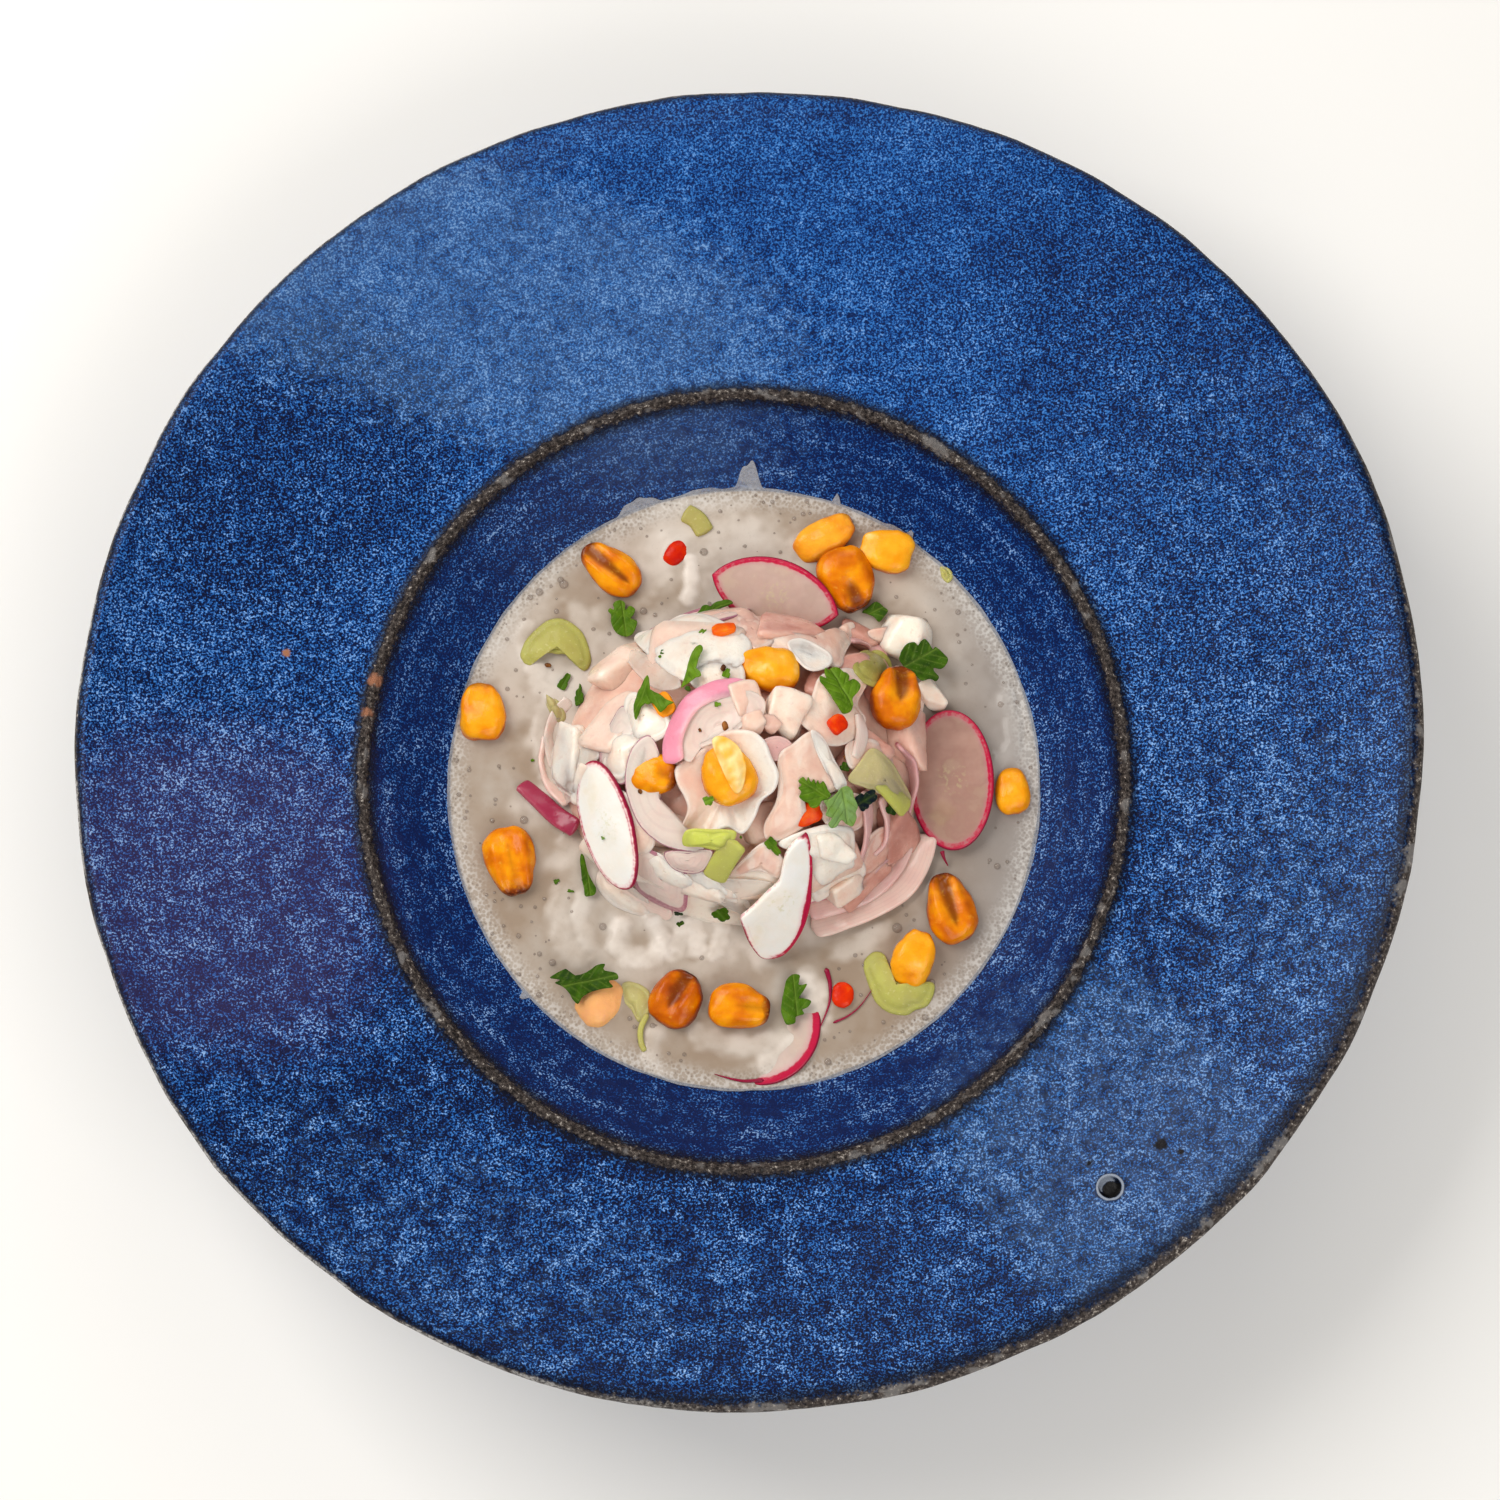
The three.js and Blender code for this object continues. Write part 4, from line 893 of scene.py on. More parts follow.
def toasted(settings):
    """Toasted corn: painted light, yellow on top and orange low down; browned in the germ, at the tip, in
    blotches.
    """
    paint = Finish(
        "toasted_corn", IOR=1.45, Specular_IOR_Level=0.15, Subsurface_Weight=0.12, Subsurface_Scale=0.002,
        Subsurface_Radius=(1.0, 0.4, 0.05), Coat_Weight=0.15, Coat_Roughness=0.14,
    )
    tip, germ, toast = paint.value("tip"), paint.value("germ"), paint.value("toast")
    blotch, fine = paint.noise(4.6, 2.0), paint.noise(1.1)
    heat = paint.plus(paint.times(toast, 0.34), paint.times(blotch, 0.6))
    # Painted light: the top of each kernel is lighter and yellower, its low sides a deeper orange.
    heat = paint.plus(heat, paint.step(paint.value("crown"), 0.6, -0.2, -0.12, 0.14))
    body = paint.ramp(
        heat, (0.0, "ffe29a"), (0.14, "fdb024"), (0.3, "f39a06"), (0.44, settings.corn), (0.58, "b85200"),
        (0.74, "7c2e00")
    )
    brown = paint.times(paint.step(germ, 0.25, 0.9), paint.step(toast, 0.05, 0.6, 0.1, 0.85))
    body = paint.mix(brown, body, "6e2e02")
    reach = paint.plus(tip, paint.swing(fine, 0.35))
    burnt = paint.times(paint.step(reach, 0.66, 0.94), paint.step(toast, 0.08, 0.5, 0.1, 1.0))
    body = paint.mix(burnt, body, paint.ramp(fine, (0.35, "2e0d04"), (0.65, "8a3a08")))
    body = paint.mix(paint.times(paint.step(fine, 0.6, 0.78), 0.2), body, "ffcf52")
    body = paint.mix(paint.value("veil"), body, "f0b98c")
    skin = paint.bump(paint.plus(fine, paint.times(blotch, 1.6)), 0.16)
    return paint.feed(Base_Color=body, Roughness=paint.step(blotch, 0.3, 0.8, 0.2, 0.38), Normal=skin)


# Radish slices: place, heading, two half axes, thickness, lift, lean, width of the skin, and how clear the
# flesh is. Then roll, pitch, how far the ellipse is drawn to points, dish of the edge, and whether a side is
# cut off.
RADISH = (
    ((5.6, 35.4), -18, 14.8, 8, 1.3, 4.4, 0, 0.75, 0.75, {"sharp": 0.75, "roll": 16}),
    ((44.4, -6), 92, 15.8, 9.4, 1.3, 2.8, 0, 0.7, 1, {"dish": -0.8, "roll": -6}),
    ((-31.2, -18.4), -75, 14.6, 7.4, 1.1, 5, 0.6, 0.4, 0, {"dish": -1, "roll": 18}),
    ((7, -34.8), 71, 14.2, 8.8, 1.4, 5.8, 0.75, 1, 0, {"dish": -0.9, "roll": 6, "cut": True}),
    ((1.6, -59.6), -38, 14.2, 13.8, 1.3, -1.8, 0, 1.1, 0.6, {"pitch": 9.3}),
)

# The slice that is cut down a side: a frame pixel inside it, and its outline, each point with the skin's
# width.
CUT_HUB = (788, 906, 0)
CUT_OUTLINE = (
    (809, 837, 0.8), (812, 850, 0.9), (813, 868, 0.9), (812, 888, 1), (811, 902, 1.1), (807, 918, 1.2),
    (801, 933, 1.2), (793, 947, 1.1), (783, 958, 0.8), (772, 962, 0.5), (763, 961, 0.3), (756, 954, 0.3),
    (749, 943, 0.3), (744, 931, 0.3), (741, 919, 0.1), (748, 912, 0), (757, 903, 0), (768, 891, 0),
    (779, 881, 0), (783, 868, 0), (787, 855, 0), (796, 844, 0), (804, 839, 0.2),
)


# Skin alone: a slice's tail, and edges that show above the broth. Frame pixels with a lift, and width.
SKIN_ARCS = (
    (((942, 851, 3), (944, 858, 2), (948, 866, 0.6)), 0.9),
    (((826, 968, 0.3), (830, 984, 0.3), (829, 1004, 0.3), (820, 1028, 0.2)), 1),
    (((764, 1080, 0.3), (744, 1081, 0.2), (728, 1078, 0.1), (714, 1074, 0.1)), 0.8),
    (((833, 1023, 0.1), (848, 1016, 0.1), (861, 1005, 0.1), (875, 985, 0.1)), 0.5),
)


def make_radish(settings):
    """Radish slices: slabs on an ellipse, one drawn to points and one cut down a side, dished and wavy."""
    batch = Batch()
    for i, (at, heading, a, b, thick, lift, lean, skin, clear, more) in enumerate(RADISH):
        lay = {"at": at, "heading": heading, "lift": lift, "lean": lean}
        lay.update((key, more[key]) for key in ("roll", "pitch") if key in more)
        edge = outline(lens(a, b, more.get("sharp", 0.0)), 120)
        skins, hub = skin + 0 * edge[:, 0], np.zeros(2)
        if "cut" in more:
            edge = loop(on_plane(lay, CUT_OUTLINE), 120)
            edge, skins = edge[:, :2], edge[:, 2]
            hub = on_plane(lay, [CUT_HUB])[0, :2]
        points, inset, faces = slab(edge - hub, thick, rings=16, crown=1.15)
        points[:, :2] += hub
        skins = with_ends(np.tile(skins, (len(points) - 2) // len(edge)), 0, 0)
        share = np.hypot(points[:, 0], points[:, 1]) / a
        points[:, 2] += more.get("dish", 0) * share**2 + 0.22 * ripple(points[:, :2], 16.0, 70 + i, 2)
        batch.add(laid(points, **lay), faces, inset=inset, skin=skins, clear=clear, middle=share)
    for path, wide in SKIN_ARCS:
        path = curve([spot(u, v, lift) for u, v, lift in path], 32)
        points, _, faces = strip(path, ground_up(*path.T[:2]), 0.7, wide * (1.2 - np.linspace(0, 1, 32)), 8)
        batch.add(points, faces, inset=0.0, skin=0.8, clear=0.6, middle=1.0)
    return batch.piece("radish_slices", radish_flesh(settings), "radish", *numbered("radish", len(RADISH), 1))


def radish_flesh(settings):
    """Wet radish: white or clear flesh with faint rays, under a magenta skin that bleeds a little inwards."""
    paint = Finish(
        "radish_slice", IOR=1.4, Specular_IOR_Level=0.35, Subsurface_Weight=0.35, Subsurface_Scale=0.002,
        Subsurface_Radius=(1.0, 0.75, 0.7),
    )
    inset, skin, clear, middle = (paint.value(name) for name in ("inset", "skin", "clear", "middle"))
    speck = paint.noise(0.9)
    cloud = paint.noise(6.5)
    pale = paint.ramp(cloud, (0.3, "fffaf2"), (0.6, "fbf1e4"), (0.75, "f5e8d2"))
    glass = paint.ramp(cloud, (0.3, "d0a898"), (0.5, "be9486"), (0.7, "c6a590"))
    flesh = paint.mix(clear, pale, glass)
    core = paint.times(paint.step(middle, 0.34, 0.1), paint.step(speck, 0.5, 0.7, 0.0, 0.5))
    flesh = paint.mix(core, flesh, "dcd3a2")
    depth = paint.less(inset, paint.swing(speck, 0.7))
    bleed = paint.times(skin, 2.6)
    past = paint.math("DIVIDE", depth, paint.math("MAXIMUM", bleed, 0.001))
    blush = paint.times(paint.step(past, 1.0, 0.2), 0.5)
    flesh = paint.mix(blush, flesh, "e58aa0")
    rind = paint.step(paint.less(depth, skin), 0.25, -0.2)
    rind = paint.times(rind, paint.step(skin, 0.02, 0.2))
    deep = paint.mix(paint.step(inset, 0.45, 0.1), settings.skin, "8d0f36")
    colour = paint.mix(rind, flesh, deep)
    seen = paint.less(1.0, paint.times(paint.times(clear, 0.34), paint.less(1.0, rind)))
    return paint.feed(
        Base_Color=colour, Alpha=seen, Roughness=paint.step(cloud, 0.3, 0.8, 0.18, 0.34),
        Normal=paint.bump(speck, 0.05)
    )


# Celery: outline as frame pixels with a lift, lift of the middle, thickness, tone (0 olive, 1 bright) and
# veil of broth.
CELERY = (
    (((519.6, 656, 0.1), (524.8, 641.7, 0.1), (536.5, 628.7, 0.2), (549.6, 619.6, 0.3), (565, 619.6, 0.3),
      (581, 631, 0.3), (588.7, 647, 0.3), (591, 662.6, 0.2), (584.8, 671, 0.1), (575.7, 665, 0.4),
      (569, 656, 0.7), (553.5, 653, 0.7), (539, 656, 0.5), (528.7, 666.5, 0.1)), 1, 1.8, 0.3, 0.05),
    (((543, 690, 0), (552, 694, 0.1), (562, 705, 0.1), (566, 718, 0), (560, 723, 0), (551, 716, 0.1),
      (544, 704, 0)), 0.4, 1.4, 0.1, 0.4),
    (((940, 566, 0), (949, 568, 0.1), (953, 577, 0.1), (948, 583, 0), (942, 578, 0)), 0.4, 1.4, 0.4, 0.2),
    (((853, 662, 4), (862, 651, 3.8), (878, 650, 3.4), (890, 660, 3.2), (891, 675, 3.2), (880, 687, 3.8),
      (866, 684, 4.2), (855, 675, 4.2)), 4.6, 1.8, -0.1, 0.05),
    (((848, 780, 4.4), (858, 764, 4.8), (872, 748, 4.8), (890, 760, 4), (900, 775, 3.4), (912, 800, 3),
      (911, 814, 2.8), (898, 806, 3.4), (885, 797, 4), (865, 788, 4.6)), 4.9, 1.3, 0.2, 0.5),
    (((683, 845, 6.8), (687, 830, 7.2), (712, 829, 7.5), (735, 831, 7.3), (734, 841, 7), (728, 849, 6.8),
      (714, 850, 6.8), (700, 847, 6.8)), 7.3, 1.3, 1, 0.05),
    (((863.6, 968.7, 0), (865.7, 958.3, 0.1), (874.8, 951.7, 0.1), (885.2, 955.7, 0.2), (889, 974, 0.7),
      (899.6, 985.7, 0.7), (912.6, 984.4, 0.5), (930.9, 981.7, 0.2), (934.8, 989.6, 0.1),
      (928.3, 1005.2, 0.1), (915.2, 1010.4, 0.1), (906, 1015.7, 0), (889, 1013, 0.1), (876, 1002.6, 0.1),
      (869.6, 988.3, 0.1)), 1, 1.8, 0.4, 0.05),
    (((622, 984, 0), (634, 982, 0.2), (648, 990, 0.3), (652, 1004, 0.2), (646, 1018, 0.1), (638, 1022, 0),
      (631, 1010, 0.1), (622, 1000, 0)), 0.5, 1.4, 0.25, 0.3),
)

# Bits of celery that are too small for a solid: frame pixels with a lift, width, and tone.
CELERY_BITS = (
    (((737, 841, 7.3), (728, 854, 6.4), (720, 867, 5.4), (713, 880, 4.6)), 5.4, 0.62),
    (((684, 512, 0.1), (697, 520, 0.2), (706, 534, 0.1)), 4.4, 0.1),
    (((877, 777, 4.9), (887, 787, 4.7), (898, 800, 4.2), (907, 811, 3.6)), 4.6, 0.7),
    (((934, 806, 2.2), (942, 812, 2), (950, 820, 2)), 5.5, 0.1),
    (((648, 1013, 0.3), (641, 1028, 0.5), (641, 1042, 0.4), (645, 1052, 0.1)), 1.3, 0.3),
)


def make_celery():
    """Celery slices: crescents cut across the rib, and strips."""
    batch = Batch()
    for i, (line, middle, thick, tone, veil) in enumerate(CELERY):
        points, inset, _, faces = sheet(line, 80 + i, middle, thick, relief=0.14, pillow=1.2)
        batch.add(points, faces, share=1 - inset / inset.max(), tone=tone, veil=veil)
    for path, width, tone in CELERY_BITS:
        line = curve([spot(u, v, lift) for u, v, lift in path], 24)
        up = ground_up(*line[len(line) // 2, :2])
        across = np.cross(up, unit(np.gradient(line, axis=0)))
        points, share, faces = strip(line, across, width, 1.6, 14, nose=0.2)
        batch.add(points, faces, share=share, tone=tone, veil=0.1)
    return batch.piece("celery", celery_flesh(), "celery", *numbered("celery", len(CELERY), 1))


def celery_flesh():
    """Pale wet celery: greener towards the outer wall, with strings as rows of pale dots."""
    paint = Finish(
        "celery_flesh", IOR=1.38, Specular_IOR_Level=0.3, Subsurface_Weight=0.4, Subsurface_Scale=0.002,
        Subsurface_Radius=(0.8, 1.0, 0.35),
    )
    share, tone = paint.value("share"), paint.value("tone")
    cloud, speck = paint.noise(3.5), paint.noise(0.7, 2.0)
    heat = paint.plus(paint.times(tone, 0.6), paint.times(cloud, 0.35))
    body = paint.ramp(
        heat, (0.0, "8a8434"), (0.18, "a69b50"), (0.38, "b0ab58"), (0.62, "c2c658"), (0.85, "d6de5e")
    )
    body = paint.mix(paint.times(paint.step(share, 0.55, 1.0), 0.35), body, "a3a650")
    body = paint.mix(paint.times(paint.step(speck, 0.6, 0.75), 0.22), body, "eeeeb8")
    body = paint.mix(paint.value("veil"), body, "cdbb9d")
    return paint.feed(
        Base_Color=body, Roughness=paint.step(cloud, 0.3, 0.7, 0.3, 0.46), Normal=paint.bump(speck, 0.1)
    )


# Leaves: place, heading, lift, lean, tone (0 pale underside, 0.5 green, 1 navy dark) and the frame pixels of
# the outlines of their parts.
LEAVES = (
    ((-28, 30.8), -82, 1.3, 1, 0.5, (((614, 608), (613, 604), (616, 601), (621, 600), (625, 603),
      (625, 608), (627, 611), (628, 607), (631, 606), (635, 609), (634, 614), (631, 618), (631, 621),
      (637, 621), (636, 628), (632, 635), (626, 637), (619, 635), (614, 630), (611, 622), (611, 615),
      (608, 611), (610, 608), (613, 610)),)),
    ((-7.6, 32), 20, 4.5, 0.6, 0.6, (((695, 616), (699, 611), (702, 606), (706, 605), (709, 607),
      (714, 604), (722, 602), (729, 601), (733, 603), (728, 606), (720, 609), (712, 611), (704, 613)),)),
    ((-12.6, 16.8), -108, 7.2, 1, 0.35, (((697, 646), (701, 645), (703, 649), (700, 656), (698, 663),
      (696, 670), (700, 672), (701, 676), (696, 677), (692, 680), (685, 685), (681, 687), (684, 679),
      (686, 672), (688, 664), (691, 656), (694, 650)),)),
    ((-22.4, 11), -110, 6.9, 1, 0.45, (((648, 676), (650, 684), (650, 694), (645, 702), (641, 707),
      (639, 714), (636, 720), (634, 714), (634, 706), (636, 698), (638, 692), (642, 686)), ((644, 693),
      (650, 690), (656, 693), (661, 695), (666, 699), (673, 702), (668, 704), (664, 709), (660, 712),
      (656, 707), (652, 703), (645, 703)))),
    ((19.6, 11.2), 118, 6.3, 1, 0.42, (((825, 668), (829, 669), (833, 667), (839, 668), (843, 672),
      (846, 673), (849, 676), (848, 682), (844, 689), (849, 683), (853, 679), (858, 682), (860, 687),
      (857, 693), (852, 699), (853, 706), (850, 712), (843, 714), (838, 708), (833, 701), (830, 694),
      (825, 687), (820, 681), (820, 676), (824, 678), (828, 681), (825, 674)),)),
    ((38.4, 21.4), 30, 4.7, 0, 0.72, (((902, 650), (907, 644), (914, 642), (918, 645), (921, 641),
      (925, 639), (929, 643), (933, 649), (936, 647), (944, 654), (948, 659), (946, 665), (941, 669),
      (934, 668), (935, 673), (939, 677), (936, 681), (930, 679), (922, 681), (917, 677), (912, 672),
      (905, 671), (903, 666), (899, 660), (900, 655)),)),
    ((28, 32.4), 25, 1.7, 1, 0.7, (((876, 602), (884, 607), (888, 611), (884, 617), (879, 622), (874, 617),
      (868, 614), (862, 612), (868, 607)),)),
    ((13.6, -12.2), 150, 6.4, 1, 0.45, (((798, 781), (803, 777), (806, 781), (808, 777), (811, 782),
      (814, 779), (816, 784), (818, 780), (820, 785), (823, 781), (826, 785), (828, 790), (831, 795),
      (828, 799), (822, 801), (820, 805), (815, 808), (810, 807), (808, 803), (803, 801), (799, 797),
      (801, 792), (798, 788), (801, 785)),)),
    ((20.6, -16.8), -78, 6.1, 1, 0.06, (((824, 801), (829, 799), (835, 795), (841, 789), (847, 786),
      (852, 790), (854, 797), (857, 806), (855, 812), (856, 818), (852, 826), (846, 824), (841, 820),
      (836, 826), (831, 828), (828, 824), (831, 818), (825, 815), (827, 808)),)),
    ((-35.6, -27.4), -82, 1.5, 0.2, 0.6, (((581, 854), (584, 856), (586, 864), (588, 872), (592, 881),
      (596, 888), (595, 894), (590, 896), (585, 896), (584, 889), (582, 880), (581, 870), (580, 861)),)),
    ((-36.6, -51.2), 12, 3.5, 0, 0.75, (((550, 978), (557, 973), (566, 969), (564, 975), (572, 976),
      (582, 974), (590, 970), (597, 965), (605, 964), (604, 970), (616, 973), (618, 979), (609, 981),
      (613, 987), (602, 989), (591, 992), (586, 995), (582, 998), (578, 1004), (573, 1000), (569, 993),
      (563, 987), (555, 983), (560, 980)),)),
    ((10, -54.6), 96, 1.9, 1, 0.55, (((790, 976), (795, 974), (800, 976), (798, 983), (801, 985),
      (807, 984), (804, 990), (799, 998), (803, 998), (811, 1001), (808, 1007), (802, 1010), (804, 1014),
      (796, 1017), (795, 1023), (787, 1025), (783, 1018), (781, 1010), (782, 1000), (784, 990),
      (786, 981)),)),
)

# Smaller leaf shreds: frame pixel, length, width, heading, lift and tone.
SHREDS = (
    (565, 681, 4.2, 2.2, 60, 0.6, 0.6), (579, 694, 5.6, 2.4, 100, 0.6, 0.65),
    (726, 615, 3.6, 1.5, 20, 2.4, 0.5), (705, 630, 3.4, 1.4, 60, 5.2, 0.4),
    (721, 628, 3, 2.2, 100, 5.6, 0.5), (665, 652, 2.4, 1.2, -20, 4.4, 0.6),
    (867, 799, 5.4, 4, 30, 5, 1), (892, 807, 3.2, 3.8, 80, 3.8, 0.8),
    (722, 915, 3.4, 4.2, -60, 2.2, 0.65), (774, 848, 4.8, 2.6, -50, 4.6, 0.5),
    (837, 860, 2.2, 1.7, 20, 4.8, 0.3), (878, 744, 3.6, 3, 10, 2.6, 0.65),
    (681, 924, 1.8, 1.8, 40, 1.2, 0.7), (679, 914, 2.2, 1, 0, 1.2, 1),
    (557, 881, 1.4, 1.1, 30, 0.5, 0.6), (571, 891, 1.6, 0.8, -10, 0.5, 0.6),
    (709, 800, 2.4, 2, 20, 7, 0.3), (845, 766, 2.2, 2.4, 80, 3.6, 0.75),
    (718, 704, 1.6, 1.2, 0, 7, 0.3), (727, 672, 2.4, 1.8, 70, 7.2, 0.4),
    (603, 838, 1, 0.8, 0, 6.4, 0.2),
)


# Lobes of a small leaf, and corners round it.
LEAF_LOBES, LEAF_CORNERS = 3, 44


def lobed(long, wide, seed):
    """Closed line of a toothed leaf, its stalk towards -X.

    The reach at an angle is the longest of the lobes, each a raised cosine about its own heading to a low
    power, cut by a saw of small teeth.
    """
    draw = np.random.default_rng(seed)
    fan = np.linspace(-95, 95, LEAF_LOBES) + draw.uniform(-6, 6, LEAF_LOBES)
    half = 95 / (LEAF_LOBES - 1) * 1.25
    size = (1 - 0.26 * np.abs(np.linspace(-1, 1, LEAF_LOBES)) ** 1.5) * draw.uniform(0.9, 1.08, LEAF_LOBES)

    def reach(angle):
        degrees = (np.degrees(angle) + 180) % 360 - 180
        off = (degrees[..., None] - fan) / half
        lobe = np.clip(np.cos(np.clip(off, -1, 1) * np.pi / 2), 0, 1) ** 0.36 * size
        tooth = 1 - 0.16 * (1 - np.abs(np.cos(np.pi * (1.5 * off + 0.5 * (LEAF_LOBES % 2)))) ** 0.6)
        shape = (lobe * np.where(np.abs(off) < 1, tooth, 0)).max(-1)
        return np.maximum(shape, 0.42 + 0.06 * np.cos(np.radians(degrees))) * 0.74 * long

    edge = outline(reach, LEAF_CORNERS) - [0.24 * long, 0]
    return edge * [1, wide / 2 / np.abs(edge[:, 1]).max()]


def leaf(edge, seed, curl=0.5, thickness=0.4, rings=12):
    """A leaf inside a closed line, its midrib along +X: creased along the midrib, curled by slow waves.

    Side veins leave the midrib at 45 degrees, 2.1 mm apart. Returns its points, how far each is on a vein,
    and its faces.
    """
    middle = edge.mean(0)
    points, _, faces = slab(edge - middle, thickness, rings)
    points[:, :2] += middle
    x, y = points[:, 0], points[:, 1]
    rib = np.exp(-((y / 0.28) ** 2))
    slant = (x - np.abs(y)) / 2.1 % 1 - 0.5
    veins = 0.7 * np.exp(-((slant / 0.11) ** 2)) * smooth(0.2, 0.8, np.abs(y))
    points[:, 2] += curl * (0.4 * np.sin(0.5 * x + seed) - 0.02 * y**2) + 0.2 * curl * np.abs(y) ** 0.8
    points[:, 2] += 0.3 * curl * ripple(points[:, :2], 5.0, seed, 3) - 0.1 * rib
    return points, np.clip(rib + veins, 0, 1), faces


def make_leaves(settings):
    """The coriander leaves, and the shreds and flecks that lie about."""
    batch = Batch()
    for i, (at, heading, lift, lean, tone, parts) in enumerate(LEAVES):
        lay = {"at": at, "heading": heading, "lift": lift, "lean": lean}
        for part in parts:
            edge = loop(on_plane(lay, [(*pixel, 0) for pixel in part])[:, :2], 120)
            points, veins, faces = leaf(edge, 100 + i)
            batch.add(laid(points, **lay), faces, vein=veins, tone=tone)
    for i, (u, v, long, wide, heading, lift, tone) in enumerate(SHREDS):
        points, veins, faces = leaf(lobed(long, wide, 200 + i), 200 + i, 0.3, 0.3, rings=5)
        place = spot(u, v, lift)
        batch.add(laid(points, place[:2], heading=heading, lift=lift), faces, vein=0.4 * veins, tone=tone)
    draw = np.random.default_rng(11)
    for _ in range(settings.flecks):
        out, way = math.sqrt(draw.uniform(0.02, 1)) * 0.94, draw.uniform(0, TAU)
        at = HEAP_REACH * out * np.array([math.cos(way), math.sin(way)])
        at = HEAP_MIDDLE + at * draw.choice([1.0, 1.45], p=[0.6, 0.4])
        size, lift = draw.uniform(0.4, 0.95), 4.0 if out < 0.8 else 0.2
        points, _, faces = slab(outline(oval(size, size * 0.6, 0.3, 5), 9), 0.25, rings=2)
        place = laid(points, at, heading=math.degrees(way), lift=lift)
        batch.add(place, faces, vein=0.0, tone=draw.uniform(0.3, 0.8))
    return batch.piece(
        "coriander_leaves", leaf_green(settings), "coriander", *numbered("coriander", len(LEAVES), 2)
    )


def leaf_green(settings):
    """Leaf green: pale underside to navy dark by tone, mottled, with lighter veins and a soft sheen."""
    paint = Finish("coriander_leaf", IOR=1.4, Specular_IOR_Level=0.12)
    mottle, speck = paint.noise(2.6), paint.noise(0.5, 2.0)
    heat = paint.plus(paint.value("tone"), paint.swing(mottle, 0.55))
    body = paint.ramp(
        heat, (0.0, "7d9e5c"), (0.3, "668a1a"), (0.55, settings.leaf), (0.8, "284505"), (1.0, "0e1822")
    )
    body = paint.mix(paint.times(paint.value("vein"), 0.3), body, "8aa544")
    body = paint.mix(paint.times(paint.step(speck, 0.62, 0.8), 0.2), body, "b4c47a")
    relief = paint.bump(paint.less(mottle, paint.value("vein")), 0.22)
    return paint.feed(Base_Color=body, Roughness=paint.step(mottle, 0.3, 0.7, 0.38, 0.55), Normal=relief)


# Chilli chips: place, heading, size, lift, tone (0 orange to 1 red), and how square the block is, 1 for a
# ball.
CHILLI = (
    ((-16.6, 45.8), 55, (6, 4.6, 1.8), 0.5, 0.9, 0.9),
    ((-5.6, 24.4), 10, (5.4, 3.4, 1.8), 5.9, 0.35, 0.6),
    ((-18.6, 6.6), 120, (5.2, 4.4, 1.8), 5.6, 0, 0.6),
    ((18.8, 2), 40, (4.2, 4, 1.8), 7.7, 0.7, 0.6),
    ((12.4, -17.2), 20, (6.4, 5, 1.8), 4.6, 0.6, 0.6),
    ((20.2, -53.6), 80, (5.6, 4.8, 1.8), 0.7, 0.75, 0.95),
)

# Brown specks of toasted corn and pepper: frame pixel, size and lift.
CRUMBS = (
    (548, 665, 1.4, 0.4), (768, 701, 1.8, 3), (805, 702, 1.3, 3.4), (700, 730, 0.9, 6),
    (881, 848, 2.4, 1.4), (847, 757, 1.8, 3.4), (723, 668, 1.6, 6.5), (726, 726, 2.2, 5.6),
    (640, 792, 1.2, 5),
)


# Rows and columns of points on a chip of chilli and on a crumb.
CHIP_GRID, CRUMB_GRID = (18, 22), (8, 10)


def chunk(size, square, dent, seed, grid):
    """A rounded block: a ball squared by a power, sized, and dented along its own normals by smooth noise."""
    sphere = ball(*grid)
    points = bent(sphere, square) * np.array(size) / 2
    wave = ripple(points, max(size) * 0.9, seed, 3)
    return points + unit(sphere) * (dent * min(size) * wave)[:, None]


def make_chilli():
    """Chilli chips and the brown crumbs beside them."""
    batch = Batch()
    for i, (at, heading, size, lift, tone, square) in enumerate(CHILLI):
        points = chunk(size, square, 0.1, 300 + i, CHIP_GRID)
        points[:, 2] += 0.12 * (points[:, 0] / 2) ** 2 * (1 if i % 2 else -1)
        batch.add(laid(points, at, heading, lift=lift), shell_faces(*CHIP_GRID), tone=tone, crumb=0.0)
    for i, (u, v, size, lift) in enumerate(CRUMBS):
        points = chunk((size, size * 0.7, size * 0.5), 0.8, 0.2, 320 + i, CRUMB_GRID)
        place = laid(points, spot(u, v, lift)[:2], heading=40 * i, lift=lift)
        batch.add(place, shell_faces(*CRUMB_GRID), tone=0.5, crumb=1.0)
    return batch.piece("chilli_chips", chilli_flesh(), "chilli", *numbered("chilli", len(CHILLI), 1))


def chilli_flesh():
    """Wet chilli from orange to red by tone, and toasted brown for the crumbs."""
    paint = Finish("chilli_flesh", IOR=1.4, Specular_IOR_Level=0.2)
    cloud = paint.noise(2.2)
    heat = paint.plus(paint.value("tone"), paint.swing(cloud, 0.9))
    body = paint.ramp(heat, (0.0, "f89a18"), (0.35, "f06a08"), (0.65, "e03402"), (1.0, "c01400"))
    body = paint.mix(paint.value("crumb"), body, paint.ramp(cloud, (0.3, "4a260c"), (0.7, "a3662c")))
    return paint.feed(
        Base_Color=body, Roughness=paint.step(cloud, 0.3, 0.7, 0.2, 0.4), Normal=paint.bump(cloud, 0.25)
    )


# ---------------- the heap

